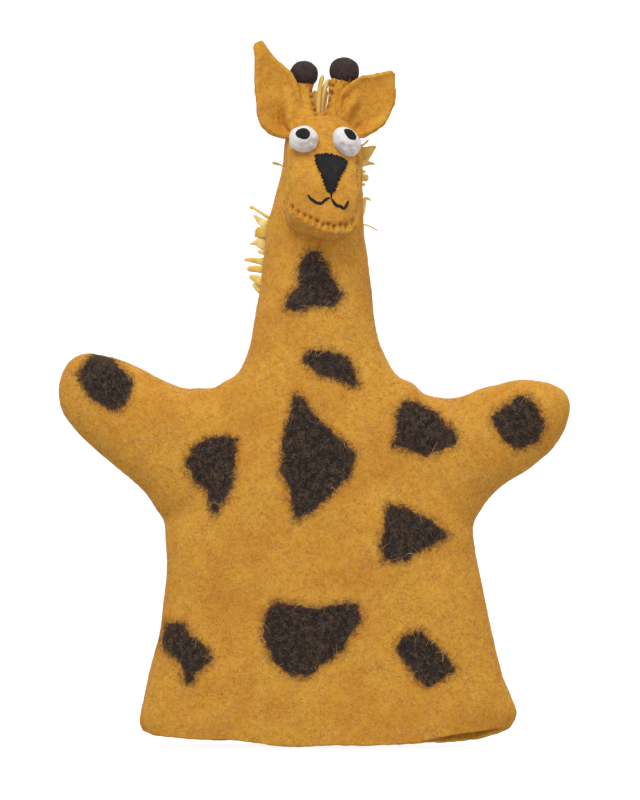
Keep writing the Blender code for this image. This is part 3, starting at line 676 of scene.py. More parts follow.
FRONT_PATCHES = [
    [(-9.5, 210), (-5, 210), (-1.5, 206.5), (3, 196), (6.5, 191.5), (2.5, 186), (-6, 186.5),
     (-13, 183.5), (-18.5, 185), (-17, 191), (-12.5, 195.5), (-12.5, 203)],
    [(-9, 168), (0, 167.5), (9, 164.5), (13, 153.5), (10, 152), (2.5, 156), (-4, 157), (-11, 162.5)],
    [(-99, 168), (-92, 166), (-82.5, 154), (-84.5, 148), (-88.5, 142), (-97.5, 145), (-101.5, 148.5),
     (-107, 158)],
    [(80, 149), (84, 148.5), (88, 145), (92, 136), (89.5, 130), (80, 125.5), (73, 130), (69, 138.5),
     (70, 142), (77, 145.5)],
    [(-14.5, 149.5), (-12, 149), (-5, 140), (11.5, 124.5), (9.5, 115), (2.5, 108), (-7, 99.5),
     (-14, 95.5), (-17.5, 111), (-20.5, 116), (-19.5, 130.5), (-17, 139)],
    [(32, 146.5), (38.5, 145.5), (45, 142), (54, 133), (54, 128), (46, 124.5), (40, 123), (27, 127),
     (28.5, 132), (28.5, 140.5)],
    [(-44, 132), (-39, 130), (-39.5, 115), (-42, 107), (-47.5, 98), (-49.5, 99.5), (-52, 109),
     (-57, 112.5), (-61, 120), (-57.5, 127), (-52.5, 130.5)],
    [(24.5, 103), (33, 101.5), (37, 98.5), (45, 95.5), (51, 89.5), (43.5, 84), (37.5, 82.5), (34, 79),
     (23.5, 78.5), (21.5, 87), (23, 92)],
    [(-23, 61.5), (-10, 60), (-2.5, 59.5), (8.5, 61.5), (12, 60.5), (14.5, 54.5), (8, 45), (6.5, 41),
     (-2, 35.5), (-8, 30), (-14.5, 30.5), (-20, 33.5), (-24.5, 38), (-28.5, 49), (-26, 58)],
    [(-69, 52.5), (-61.5, 52.5), (-58, 47), (-53, 44), (-49, 38), (-50.5, 34.5), (-56, 31.5),
     (-57.5, 27), (-60.5, 27), (-62, 34), (-71, 42.5)],
    [(36.5, 49.5), (39, 49), (44.5, 44.5), (51.5, 36.5), (54, 32), (49, 29.5), (44, 26.5), (41, 26),
     (37, 29), (29, 40.5), (28.5, 44), (31, 46.5)],
]
BACK_PATCHES = [
    [(-17, 147), (-9, 150), (-1, 148), (6, 151), (14, 142), (11, 134), (3, 133), (-3, 126), (-11, 128),
     (-21, 137), (-20, 142)],
    [(-102, 157), (-95, 160), (-89, 157), (-83, 149), (-88, 144), (-90, 139), (-98, 141), (-106, 147)],
    [(73, 146), (80, 149), (87, 145), (93, 139), (89, 131), (84, 127), (77, 130), (75, 134), (71, 138)],
    [(-53, 119), (-46, 117), (-37, 122), (-29, 111), (-31, 103), (-37, 98), (-38, 91), (-45, 92),
     (-48, 101), (-56, 105)],
    [(24, 118), (31, 117), (36, 121), (43, 114), (48, 107), (41, 103), (40, 94), (32, 98), (27, 96),
     (25, 104), (19, 108)],
    [(-10, 92), (-4, 98), (3, 95), (6, 89), (15, 83), (10, 77), (8, 67), (1, 69), (-7, 62), (-10, 71),
     (-18, 77), (-13, 84)],
    [(-57, 57), (-50, 60), (-44, 58), (-41, 61), (-33, 51), (-36, 43), (-37, 33), (-45, 36), (-52, 30),
     (-54, 38), (-62, 44), (-60, 52)],
    [(25, 53), (33, 52), (41, 57), (46, 50), (54, 44), (49, 38), (48, 29), (40, 31), (33, 26), (29, 33),
     (21, 39), (24, 45)],
]


def inside_by(outline, x, z):
    """How far each place lies inside the outline, in mm; outside is negative."""
    best = np.full(len(x), 1e9)
    inside = np.zeros(len(x), bool)
    for (x0, z0), (x1, z1) in zip(outline, outline[1:] + outline[:1]):
        ex, ez = x1 - x0, z1 - z0
        share = np.clip(((x - x0) * ex + (z - z0) * ez) / (ex * ex + ez * ez), 0, 1)
        best = np.minimum(best, np.hypot(x - x0 - share * ex, z - z0 - share * ez))
        crosses = ((z0 > z) != (z1 > z)) & (x < ex * (z - z0) / (ez if ez else 1e-9) + x0)
        inside ^= crosses
    return np.where(inside, best, -best)


def patch_depth(points):
    """How far each place lies inside a dark patch, in mm; outside is negative."""
    x, y, z = points.T
    front = np.max([inside_by(o, x, z) for o in FRONT_PATCHES], axis=0) - np.clip(y + 3, 0, None) * 0.9
    back = np.max([inside_by(o, x, z) for o in BACK_PATCHES], axis=0) - np.clip(3 - y, 0, None) * 0.9
    return np.clip(np.maximum(front, back), -6, 6)


# ------------------------------------------------------------------ splitting the skin at the joints


def along_arm(side, points):
    """How far out along an arm each place is, and how far up across it."""
    arm = ARMS[side]
    rel = points - np.array(arm["tip"])
    return rel @ np.array(arm["out"]), rel @ np.array(arm_across(arm))


def zone_of(points):
    """Which piece of the skin each place belongs to."""
    zone = np.full(len(points), "glove_body", object)
    zone[points[:, 2] > NECK[1]] = "glove_neck"
    for side in ARMS:
        s, up = along_arm(side, points)
        a, m, _ = ARMS[side]["fold"]
        arm = (s > a) & (np.abs(up) < 34)
        zone[arm] = f"glove_shoulder_{side}"
        zone[arm & (s > m)] = f"glove_arm_{side}"
    return zone


def bend(obj, zone):
    """Bakes a piece of the skin, or what lies on it, into its place; every zone gets the same treatment."""
    if zone == "glove_body":
        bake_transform(obj)
    elif zone == "glove_neck":
        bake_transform(obj)
    else:
        if "shoulder" in zone:
            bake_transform(obj)
        else:
            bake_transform(obj)


TORSO_PATCHES = (
    "chest breast_left flank_right flank_left hem_centre hem_right hem_left "
    "back_shoulders back_flank_right back_flank_left back_centre back_hem_right back_hem_left"
)
STANDS_FOR = {
    "glove_body": [
        "torso_felt", "neck_base", "patch_neck_lower", *(f"patch_{p}" for p in TORSO_PATCHES.split())
    ],
    "glove_neck": ["neck_and_skull", "patch_neck_upper"],
    "glove_shoulder_right": ["shoulder_right"],
    "glove_shoulder_left": ["shoulder_left"],
    "glove_arm_right": ["arm_right", "patch_arm_right", "patch_back_arm_right"],
    "glove_arm_left": ["arm_left", "patch_arm_left", "patch_back_arm_left"],
}


def split_glove(obj):
    """Cuts the skin into pieces at the joints; each keeps the whole skin's normals, so no seam shows."""
    points, normals = get_points(obj), get_normals(obj)
    patch = patch_depth(points)
    faces = [tuple(p.vertices) for p in obj.data.polygons]
    zones = zone_of(np.array([points[list(f)].mean(axis=0) for f in faces]))
    pieces = {}
    for name, replaced in STANDS_FOR.items():
        mine = [f for f, z in zip(faces, zones) if z == name]
        used = sorted({i for f in mine for i in f})
        index = {v: k for k, v in enumerate(used)}
        part = mesh_object(name, points[used], [[index[i] for i in f] for f in mine], SKIN)
        store_number(part, "patch", patch[used])
        part.data.normals_split_custom_set_from_vertices(normals[used].tolist())
        bend(part, name)
        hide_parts(*replaced)
        pieces[name] = part
    bpy.data.objects.remove(obj)
    return pieces


# ------------------------------------------------------------------ fibres

FIBRE_STEPS = 5


def fibre(tree, start, normal, length, radius, loft):
    """A curly hair that lies along the surface; loft is how high its end stands off."""
    heading = Vector((rng.uniform(-1, 1), rng.uniform(-1, 1), rng.uniform(-1, 1)))
    heading = (heading - normal * heading.dot(normal)).normalized()
    place, up = start, normal
    line = [place + up * 0.02]
    turn = rng.uniform(-0.5, 0.5)
    for k in range(FIBRE_STEPS):
        heading = (Matrix.Rotation(turn + rng.uniform(-0.45, 0.45), 3, up) @ heading).normalized()
        place = place + heading * (length / FIBRE_STEPS)
        hit, face_normal, _, _ = tree.find_nearest(place)
        if hit is None:
            break
        place = hit
        up = face_normal if face_normal.dot(up) > 0 else -face_normal
        heading = (heading - up * heading.dot(up)).normalized()
        line.append(place + up * (0.03 + loft * ((k + 1) / FIBRE_STEPS) ** 2))
    return tube(line, [radius * (1 - 0.55 * i / (len(line) - 1)) for i in range(len(line))], 3)


def fibres_object(name, strands, material):
    """One object of many strands, each a (mesh, tone)."""
    obj = mesh_object(name, *merged([mesh for mesh, _ in strands]), material)
    store_number(obj, "tone", np.concatenate([np.full(len(mesh[0]), tone) for mesh, tone in strands]))
    return obj


def scatter(obj, tree, count, keep):
    """Random places on the outside of an object, by area, as (place, normal); keep picks among them."""
    mesh = obj.data
    mesh.calc_loop_triangles()
    tris = np.array([t.vertices for t in mesh.loop_triangles])
    points = get_points(obj)
    a, b, c = points[tris[:, 0]], points[tris[:, 1]], points[tris[:, 2]]
    cross = np.cross(b - a, c - a)
    area = np.linalg.norm(cross, axis=1)
    total = np.cumsum(area)
    picks = np.minimum(np.searchsorted(total, draws.random(count * 12) * total[-1]), len(tris) - 1)
    u, v = draws.random(count * 12), draws.random(count * 12)
    flip = u + v > 1
    u, v = np.where(flip, 1 - u, u), np.where(flip, 1 - v, v)
    places = a[picks] + (b - a)[picks] * u[:, None] + (c - a)[picks] * v[:, None]
    normals = cross[picks] / np.maximum(area[picks], 1e-9)[:, None]
    found = []
    for i in np.flatnonzero(keep(places)):
        place, normal = Vector(places[i]), Vector(normals[i])
        if tree.ray_cast(place + normal * 0.2, normal, 60)[0] is None:
            found.append((place, normal))
            if len(found) == count:
                break
    return found


# ------------------------------------------------------------------ studio and camera

BACKDROP_GLOW = 0.92
WORLD_LIGHT = 0.64
WORLD_COLOUR = (1.0, 0.95, 0.90)
LIGHTS = [
    ("key", (-0.35, -1.2, 1.75), 0.9, 24.5),
    ("fill", (0.9, -1.3, 0.6), 1.2, 3.0),
    ("back", (0.2, 1.1, 1.6), 1.0, 9.0),
]
FLOOR_REACH, FLOOR_CURVE = 3400, 800


def add_to_scene(name, data, place):
    obj = bpy.data.objects.new(name, data)
    obj.location = place
    bpy.context.scene.collection.objects.link(obj)
    return obj


def make_studio():
    """A white floor that curves up into a low wall on every side, soft lights and the photo's camera."""
    n = Nodes("backdrop")
    n.shade(Base_Color=(0.35, 0.35, 0.35), Roughness=1, Specular_IOR_Level=0)
    n.shade(Emission_Color=(1, 1, 1), Emission_Strength=BACKDROP_GLOW)
    profile = [(1, 0), (400, 0), (1500, 0), (FLOOR_REACH, 0)]
    for k in range(1, 13):
        turn = math.pi / 2 * k / 12
        out, down = FLOOR_CURVE * math.sin(turn), FLOOR_CURVE * math.cos(turn)
        profile.append((FLOOR_REACH + out, FLOOR_CURVE - down))
    profile.append((FLOOR_REACH + FLOOR_CURVE, 3200))
    turns = np.linspace(0, 2 * math.pi, 73)[:-1]
    rings = [[Vector((r * math.cos(a), r * math.sin(a), z - 0.4)) for a in turns] for r, z in profile]
    floor = mesh_object("studio_floor", *rings_mesh(rings, cap=False), n.material)
    floor.visible_diffuse = False  # it would light the puppet from below
    world = bpy.data.worlds.new("studio")
    bpy.context.scene.world = world
    world.use_nodes = True
    background = world.node_tree.nodes["Background"]
    background.inputs["Color"].default_value = (*WORLD_COLOUR, 1)
    background.inputs["Strength"].default_value = WORLD_LIGHT
    for name, place, size, power in LIGHTS:
        light = bpy.data.lights.new(name, "AREA")
        light.size = size
        light.energy = power
        sight = Vector((0, 0, 0.15)) - Vector(place)
        add_to_scene(name, light, place).rotation_euler = sight.to_track_quat("-Z", "Y").to_euler()
    camera = bpy.data.cameras.new("camera")
    camera.lens = LENS
    camera.sensor_width = SENSOR
    camera.clip_end = 20
    view = add_to_scene("camera", camera, VIEWPOINT * MM)
    view.rotation_euler = (math.pi / 2, 0, 0)
    bpy.context.scene.camera = view
    bpy.context.scene.view_settings.view_transform = "Standard"


# ------------------------------------------------------------------ the face

# Muzzle: height, middle, half width, how far forward it comes
MUZZLE = np.array([
    (214.6, 1.0, 3.0, 22.0),
    (215.8, 0.6, 7.2, 25.2),
    (218.2, -0.9, 11.8, 27.8),
    (222.5, -2.0, 15.2, 29.0),
    (230, -2.4, 16.4, 28.4),
    (239, -2.2, 16.2, 25.8),
    (247, -2.0, 15.9, 22.6),
    (254, -2.0, 15.0, 19.0),
    (261, -2.2, 12.8, 15.6),
    (267, -2.4, 8.5, 10.5),
])
NOSE_MIDDLE = (0.9, 245.5)
NOSE_STITCH = 1.25  # from one stitch round the nose to the next
# Outlines as (across, up) that the front camera sees: the chin's edge, the nose and the mouth's two halves
CHIN = [(-17.2, 228.5), (-16.2, 225.3), (-13.8, 222.9), (-10.7, 221.0), (-6.5, 218.8), (-2.9, 217.4),
        (1.2, 216.5), (5.2, 216.5), (8.6, 217.4), (11.2, 219.4), (12.8, 223.5)]
NOSE = [(-5.9, 250.3), (-5.0, 251.3), (-3.4, 251.0), (-2.0, 251.7), (2.4, 251.0), (6.0, 249.8),
        (7.9, 248.5), (7.4, 246.2), (4.9, 241.8), (3.1, 236.9), (2.2, 234.6), (-0.1, 235.0),
        (-1.5, 238.2), (-3.3, 243.3), (-5.0, 246.9)]
MOUTH = [
    [(-8.8, 234.1), (-7.6, 232.5), (-6.1, 231.4), (-4.9, 230.7), (-2.9, 230.5), (-1.5, 231.8),
     (0.5, 232.9)],
    [(1.2, 232.6), (2.3, 230.9), (3.4, 229.6), (4.9, 229.2), (6.2, 228.4), (7.2, 228.9), (7.9, 230.3),
     (8.5, 231.5)],
]


def muzzle_point(height, angle):
    middle, half, front = smooth_at(MUZZLE, height)
    x, y = superellipse(angle, half, front / 2)
    return Vector((middle + x, y - front / 2, height))


def seen_at(x, z, y):
    """The place at this depth that the front camera sees at (x, z) of the middle plane."""
    return VIEWPOINT + (Vector((x, 0, z)) - VIEWPOINT) * (1 + y / -VIEWPOINT.y)


def on_front(tree, x, z, lift=0.0):
    """The place on a surface that the front camera sees at (x, z), lifted off it."""
    sight = (Vector((x, 0, z)) - VIEWPOINT).normalized()
    hit, normal, _, _ = tree.ray_cast(VIEWPOINT + sight * 2000, sight)
    if hit is None:
        hit, normal, _, _ = tree.find_nearest(seen_at(x, z, -20))
    if normal.dot(sight) > 0:
        normal = -normal
    return hit + normal * lift, normal


def face_form():
    """The muzzle's closed form, before any stitch."""
    low, high = MUZZLE[0][0], MUZZLE[-1][0]
    rings = []
    for k in range(80):
        height = low + (high - low) * (1 - math.cos(math.pi / 2 * k / 79))
        rings.append([muzzle_point(height, 2 * math.pi * i / 84) for i in range(84)])
    obj = outwards(mesh_object("face", *rings_mesh(rings), FELT))
    remesh(obj, 0.5)
    relax(obj, 20)
    return obj


def chin_height(x):
    """How high the chin's edge is, at this place across."""
    return float(np.interp(x, [p[0] for p in CHIN], [p[1] for p in CHIN]))


def make_face():
    """A stuffed panel: seams pull it in down both sides, and whip stitches gather its rolled chin."""
    face = face_form()
    undulate(face, 8, 0.7, 5)
    undulate(face, 3.0, 0.22, 6)
    tree = tree_of(face)

    def seen(x, z):
        return on_front(tree, x, z)[0]

    # the nose presses the felt in, and the cheeks swell beside it
    marks = [([seen(1, 247), seen(1, 236)], 3.6, 0.6)]
    marks += [([seen(x, 236)], 5.5, -1.0) for x in (-8.5, 8.6)]
    # the chin's roll stands out along the edge
    marks.append(([seen(x, chin_height(x) + 2.0) for x in np.linspace(-16.6, 12.4, 24)], 2.1, -1.0))
    # running stitches up both sides
    for angle in (-0.42, -math.pi + 0.42):
        seam = [tree.find_nearest(muzzle_point(z, angle))[0] for z in np.linspace(226, 258, 14)]
        marks.append((seam, 1.3, 0.55))
        for z in np.arange(229, 258, 3.6):
            here = tree.find_nearest(muzzle_point(z + rng.uniform(-0.3, 0.3), angle))[0]
            there = tree.find_nearest(muzzle_point(z + 1.3, angle + 0.03))[0]
            marks.append(([here, there], 0.75, 1.0))
    # whip stitches over the roll: each pulls a pit in above it, and the felt bulges between them
    x = -15.6
    seam, threads = [], []
    while x < 12.2:
        edge = chin_height(x)
        lean = rng.uniform(-0.9, 0.5) - 0.04 * x
        top = seen(x, edge + 4.3 + rng.uniform(-0.5, 0.5))
        middle = seen(x + lean * 0.5, edge + 2.9)
        low = seen(x + lean, edge + rng.uniform(1.2, 2.0))
        marks.append(([top], rng.uniform(0.75, 1.05), rng.uniform(1.3, 1.9)))
        marks.append(([top, middle], 0.65, rng.uniform(0.5, 0.9)))
        marks.append(([middle, low], 0.7, rng.uniform(0.3, 0.8)))
        step = rng.uniform(2.3, 3.5)
        bulge = seen(x + step / 2 + lean * 0.4, edge + rng.uniform(1.8, 2.8))
        marks.append(([bulge], 1.25, -rng.uniform(0.6, 1.2)))
        if rng.random() < 0.6:
            stray = seen(x + step / 2, edge + rng.uniform(0.4, 1.1))
            marks.append(([stray], 0.8, rng.uniform(0.5, 1.0)))
        seam.append(top)
        threads.append([top, middle, low])
        x += step
    marks.append((seam, 1.2, 0.5))
    press(face, marks)
    relax(face, 2)
    replaced = ["face_panel", "chin_gusset", "muzzle_stuffing", "face_seam_left", "face_seam_right"]
    on_head(face, "ochre_felt", *replaced)
    return face, threads


def make_chin_stitches(face, threads):
    tree = tree_of(face)
    strands = []
    for line in threads:
        settled = []
        for p in catmull(line, 3):
            hit, normal, _, _ = tree.find_nearest(p)
            settled.append(hit - normal * 0.08)
        for end in (0, -1):
            settled[end] = settled[end] - tree.find_nearest(settled[end])[1] * 0.9
        strands.append((thread(settled, 0.22), 0.3 + rng.random() * 0.7))
    on_head(fibres_object("chin_stitches", strands, THREAD), "ochre_thread", "chin_seam")


def lumpy_ball(name, centre, radii, material, turn, lumps, seed):
    """A felted ball: a turned ellipsoid with lumps of several sizes."""
    bm = bmesh.new()
    bmesh.ops.create_icosphere(bm, subdivisions=6, radius=1)
    rot = Matrix.Rotation(turn, 3, "Y")
    points = []
    for v in bm.verts:
        p = rot @ Vector([c * r for c, r in zip(v.co, radii)])
        place = Vector(centre) + p
        wave = 0.0
        for size, share in ((4.6, 1.0), (2.3, 0.30), (1.2, 0.10), (0.7, 0.05)):
            where = place / size + Vector((seed, size, seed * 2))
            wave += noise.noise(where, noise_basis="PERLIN_NEW") * lumps * share
        points.append(place + p.normalized() * wave)
    faces = [[v.index for v in f.verts] for f in bm.faces]
    bm.free()
    return mesh_object(name, points, faces, material)


# Each eye: its centre as (across, up, depth) that the front camera sees, half axes and turn; the way it
# looks; the pupil's half axes and turn; where the ball is dented; and where in the noise its lumps and the
# pupil's ragged edge come from
EYES = {
    "right": {
        "at": (-10.6, 257.7, -20.0), "r": (6.3, 6.0, 5.75), "turn": 0.1,
        "looks": (-0.02, -0.90, 0.40), "pupil": (2.9, 2.65), "tilt": 0.0,
        "dents": [(3.4, -5.2), (-0.8, -6.6), (5.8, -2.2)], "seed": 3.0, "rag": 9.0,
    },
    "left": {
        "at": (7.9, 256.7, -19.6), "r": (6.9, 5.45, 5.3), "turn": 0.88,
        "looks": (0.26, -0.78, 0.56), "pupil": (2.95, 2.05), "tilt": 0.84,
        "dents": [(1.6, -6.0), (-2.9, -4.6), (6.2, -5.0)], "seed": 8.0, "rag": 4.0,
    },
}


def make_eyes():
    for side, eye in EYES.items():
        x, z, y = eye["at"]
        c = seen_at(x, z, y)
        ball = lumpy_ball(f"eye_ball_{side}", c, eye["r"], WHITE, eye["turn"], 0.38, eye["seed"])
        tree = tree_of(ball)
        marks = []
        for dx, dz in eye["dents"]:
            near = tree.find_nearest(c + Vector((dx, -2.0, dz)))[0]
            far = tree.find_nearest(c + Vector((dx * 0.75, -5.0, dz * 0.5)))[0]
            marks.append(([near, far], 1.4, 1.0))
        press(ball, marks)
        on_head(ball, "white_wool", f"eye_{side}")
        make_pupil(side, eye, c, tree_of(ball))


def make_pupil(side, eye, centre, tree):
    """A ragged disc of felt, draped over the ball where the eye looks."""
    axis = Vector(eye["looks"]).normalized()
    across = axis.cross(Vector((0, 0, 1))).normalized()
    upward = across.cross(axis)
    c, s = math.cos(eye["tilt"]), math.sin(eye["tilt"])
    across, upward = across * c + upward * s, upward * c - across * s
    wide, high = eye["pupil"]
    rings = []
    layers = ((1.0, -0.3), (1.03, 0.2), (0.97, 0.45), (0.85, 0.55), (0.6, 0.6), (0.3, 0.62), (0.02, 0.62))
    for share, lift in layers:
        ring = []
        for k in range(60):
            a = 2 * math.pi * k / 60
            where = Vector((math.cos(a) * 1.3, math.sin(a) * 1.3, eye["rag"]))
            ragged = 1 + 0.10 * noise.noise(where) + 0.07 * noise.noise(where * 3.5)
            flat = (across * math.cos(a) * wide + upward * math.sin(a) * high) * share * ragged
            hit = tree.ray_cast(centre + flat + axis * 20, -axis)[0]
            ring.append(hit + axis * (lift + 0.16 * noise.noise(where * (2 + 3 * share))))
        rings.append(ring)
    pupil = outwards(mesh_object(f"pupil_disc_{side}", *rings_mesh(rings), BLACK))
    on_head(pupil, "black_felt", f"pupil_{side}")


def nose_felt(tree):
    """The ragged triangle, laid on the face."""
    outline = []
    for (x0, z0), (x1, z1) in zip(NOSE, NOSE[1:] + NOSE[:1]):
        steps = max(1, int(math.hypot(x1 - x0, z1 - z0) / 0.35))
        outline += [(x0 + (x1 - x0) * k / steps, z0 + (z1 - z0) * k / steps) for k in range(steps)]
    smooth = []
    for i in range(len(outline)):
        near = [outline[(i + d) % len(outline)] for d in (-2, -1, 0, 1, 2)]
        smooth.append((sum(p[0] for p in near) / 5, sum(p[1] for p in near) / 5))
    mx, mz = NOSE_MIDDLE
    layers = ((0.98, -0.5), (1.0, 0.3), (0.99, 0.75), (0.94, 1.0))
    layers += ((0.8, 1.1), (0.55, 1.15), (0.3, 1.15), (0.03, 1.15))
    rings = []
    for share, lift in layers:
        ring = []
        for x, z in smooth:
            ragged = 1 + 0.06 * noise.noise(Vector((x * 0.9, 0, z * 0.9)))
            ragged += 0.03 * noise.noise(Vector((x * 2.5, 7, z * 2.5)))
            px, pz = mx + (x - mx) * share * ragged, mz + (z - mz) * share * ragged
            place, normal = on_front(tree, px, pz)
            wave = 0.12 * noise.noise(Vector((px / 1.4, 3, pz / 1.4)))
            ring.append(place + normal * (lift + wave))
        rings.append(ring)
    return outwards(mesh_object("nose_patch", *rings_mesh(rings), BLACK))


def make_nose(face):
    nose = on_head(nose_felt(tree_of(face)), "black_felt", "nose")
    tree = tree_of(nose, face)
    mx, mz = NOSE_MIDDLE
    strands = []
    for (x0, z0), (x1, z1) in zip(NOSE, NOSE[1:] + NOSE[:1]):
        length = math.hypot(x1 - x0, z1 - z0)
        for k in range(int(length / NOSE_STITCH)):
            share = (k + 0.5 + rng.uniform(-0.2, 0.2)) * NOSE_STITCH / length
            x, z = x0 + (x1 - x0) * share, z0 + (z1 - z0) * share
            nx, nz = (z0 - z1) / length, (x1 - x0) / length
            if (x - mx) * nx + (z - mz) * nz < 0:
                nx, nz = -nx, -nz
            skew = rng.uniform(-0.35, 0.35)
            line = []
            for t, lift in ((-1.0, -0.25), (-0.55, 0.14), (-0.1, 0.14), (0.3, 0.14), (0.6, -0.25)):
                place, normal = on_front(tree, x + nx * t + nz * skew * t, z + nz * t - nx * skew * t)
                line.append(place + normal * lift)
            strands.append((thread(line, 0.27, 6), rng.random()))
    down = ((1.0, 235.2), (1.15, 234.2), (1.2, 233.2), (1.3, 232.2))
    lip = [on_front(tree, x, z, -0.05)[0] for x, z in down]
    strands.append((thread(catmull(lip, 4), 0.42), 0.9))
    on_head(fibres_object("nose_stitches", strands, BLACK_THREAD), "black_felt", "lip_stitch")


def make_mouth(face):
    """Each half of the mouth is three loose strands side by side."""
    tree = tree_of(face)
    strands = []
    for curve in MOUTH:
        path = catmull([(x, 0, z) for x, z in curve], 5)
        for strand, (size, shift) in enumerate(((0.62, 0.0), (0.42, 0.25), (0.36, -0.25))):
            line, radii = [], []
            for q in path:
                wild = noise.noise(Vector((q.x * 1.5, strand * 5.0, q.z * 1.5)))
                line.append(on_front(tree, q.x + shift * 0.3 * wild, q.z + shift + 0.22 * wild, 0.12)[0])
            for k, q in enumerate(line):
                swell = min(1.0, 0.30 + 1.6 * math.sin(math.pi * (k / (len(line) - 1))))
                radii.append(size * swell * (1 + 0.30 * noise.noise(q * 1.1 + Vector((strand, 0, 0)))))
            strands.append((tube(line, radii, 8), rng.random()))
    on_head(fibres_object("mouth_stitches", strands, BLACK_THREAD), "black_felt", "mouth_thread")


# ------------------------------------------------------------------ ears and horns

# Widths are (along the ear, reach on the outer side, reach on the inner side); cup is the hollow all along
# and the extra at the root; folds are (across, along, size across, size along, depth)
EAR_ROWS, EAR_COLUMNS = 64, 44
EARS = {
    "right": {
        "root": Vector((-15.3, -7.5, 263.2)),
        "tip": Vector((-28.4, -5.5, 295.2)),
        "outer": Vector((-0.932, 0, -0.361)),
        "widths": np.array([
            (-4.2, 2.5, 1.0), (-1.9, 7.3, 2.4), (1.6, 10.4, 3.8), (5.2, 12.0, 5.8), (10, 11.9, 7.3),
            (15.7, 10.1, 8.1), (21.1, 8.5, 7.8),
            (25.7, 6.7, 5.8), (30.3, 4.7, 3.8), (34.5, 3.2, 2.3), (37.0, 2.4, 1.9), (38.6, 1.3, 1.1),
        ]),
        "cup": (2.2, 6.0),
        "folds": [(0.42, 0.10, 0.20, 0.20, -4.6), (0.02, 0.20, 0.30, 0.17, 3.0),
                  (0.80, 0.16, 0.18, 0.25, 2.2), (-0.8, 0.3, 0.35, 0.4, -0.8)],
    },
    "left": {
        "root": Vector((9.9, -7.5, 265.3)),
        "tip": Vector((26.3, -6.0, 284.4)),
        "outer": Vector((0.766, 0, -0.643)),
        "widths": np.array([
            (-5.4, 3.0, 1.5), (-1.8, 8.1, 5.5), (0.35, 9.0, 8.0), (4.7, 10.9, 10.8), (8, 11.2, 11.3),
            (11, 10.8, 11.0), (14.5, 10.0, 10.0),
            (17.7, 8.7, 8.4), (20.5, 6.6, 6.0), (23, 4.1, 3.9), (27.2, 0.8, 0.8),
        ]),
        "cup": (2.0, 5.0),
        "folds": [(0.45, 0.20, 0.16, 0.24, -3.4), (0.72, 0.20, 0.17, 0.22, 2.6),
                  (-0.05, 0.06, 0.18, 0.18, -2.0), (-0.42, 0.10, 0.26, 0.16, 2.6),
                  (0.12, 0.20, 0.22, 0.16, 1.8)],
    },
}


def make_ear(side, spec):
    """A cupped leaf of felt, folded at its root."""
    root, outwardly = spec["root"], spec["outer"]
    axis = (spec["tip"] - root).normalized()
    stations = spec["widths"]
    cup_all, cup_root = spec["cup"]
    points, faces = [], []
    for i in range(EAR_ROWS + 1):
        v = 1 - (1 - i / EAR_ROWS) ** 1.25
        along = stations[0][0] + (stations[-1][0] - stations[0][0]) * v
        outer, inner = smooth_at(stations, along)
        for k in range(EAR_COLUMNS + 1):
            u = -1 + 2 * k / EAR_COLUMNS
            across = outer * (1 - u) / 2 - inner * (1 + u) / 2
            cup = (cup_all + cup_root * math.exp(-v * 4.5)) * (1 - u * u) * min(1, (outer + inner) / 14)
            for fu, fv, su, sv, deep in spec["folds"]:
                cup += deep * math.exp(-(((u - fu) / su) ** 2) - ((v - fv) / sv) ** 2)
            place = root + axis * along + outwardly * across + Vector((0, cup - 1.0, 0))
            ripple = outwardly * 0.35 * noise.noise(place / 4.0)
            place += ripple + Vector((0, 1.1, 0)) * noise.noise(place / 8.0)
            points.append(place)
    width = EAR_COLUMNS + 1
    for i in range(EAR_ROWS):
        for a in range(i * width, i * width + EAR_COLUMNS):
            faces.append((a, a + 1, a + width + 1, a + width))
    ear = mesh_object(f"ear_felt_{side}", points, faces, FELT)
    outwards(thicken(ear, 2.3, 0))
    remesh(ear, 0.55)
    relax(ear, 6)
    undulate(ear, 2.6, 0.2, 4)
    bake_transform(ear)
    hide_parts(f"ear_{side}", f"ear_root_{side}")


# Each horn: its middle line as (across, depth, up, radius), which way the roll laps, and the ball. As the
# front camera sees them: dents, where whip stitches pull the roll in, and stitches at its foot, each with
# half its length
HORNS = {
    "right": {
        "line": [(-6.6, -6.2, 256, 7.0), (-8.0, -5.6, 261, 6.6), (-9.4, -4.0, 266, 5.4),
                 (-10.0, -2.4, 271, 4.5), (-10.3, -1.2, 276, 4.0), (-10.5, -0.6, 279.0, 3.9),
                 (-10.6, -0.4, 281.6, 3.9)],
        "inward": 1, "seed": 1.5,
        "ball": (-10.4, -0.4, 285.6), "r": (6.0, 5.9, 5.6),
        "dents": [(-7.3, 278.4), (-7.0, 275.6), (-6.6, 272.8), (-5.6, 270.2), (-4.9, 267.4)],
        "stitches": [(-5.2, 268.0, 0.5, 0.6), (-2.9, 265.6, 0.7, -0.3)],
    },
    "left": {
        "line": [(2.2, -6.2, 256, 7.0), (2.6, -5.6, 261, 6.4), (3.4, -4.0, 266, 5.4),
                 (3.9, -2.4, 271, 4.9), (4.2, -1.2, 276, 4.6), (4.6, -0.6, 280.5, 4.6),
                 (4.9, -0.4, 283.2, 4.5)],
        "inward": -1, "seed": 6.5,
        "ball": (6.7, -0.4, 286.5), "r": (6.4, 6.1, 6.1),
        "dents": [(1.6, 280.6), (1.1, 277.4), (0.2, 274.6), (-0.5, 271.4), (-1.6, 267.9), (-2.2, 265.2)],
        "stitches": [(-1.7, 268.0, 0.7, 0.2), (-1.2, 266.2, 0.6, -0.4)],
    },
}


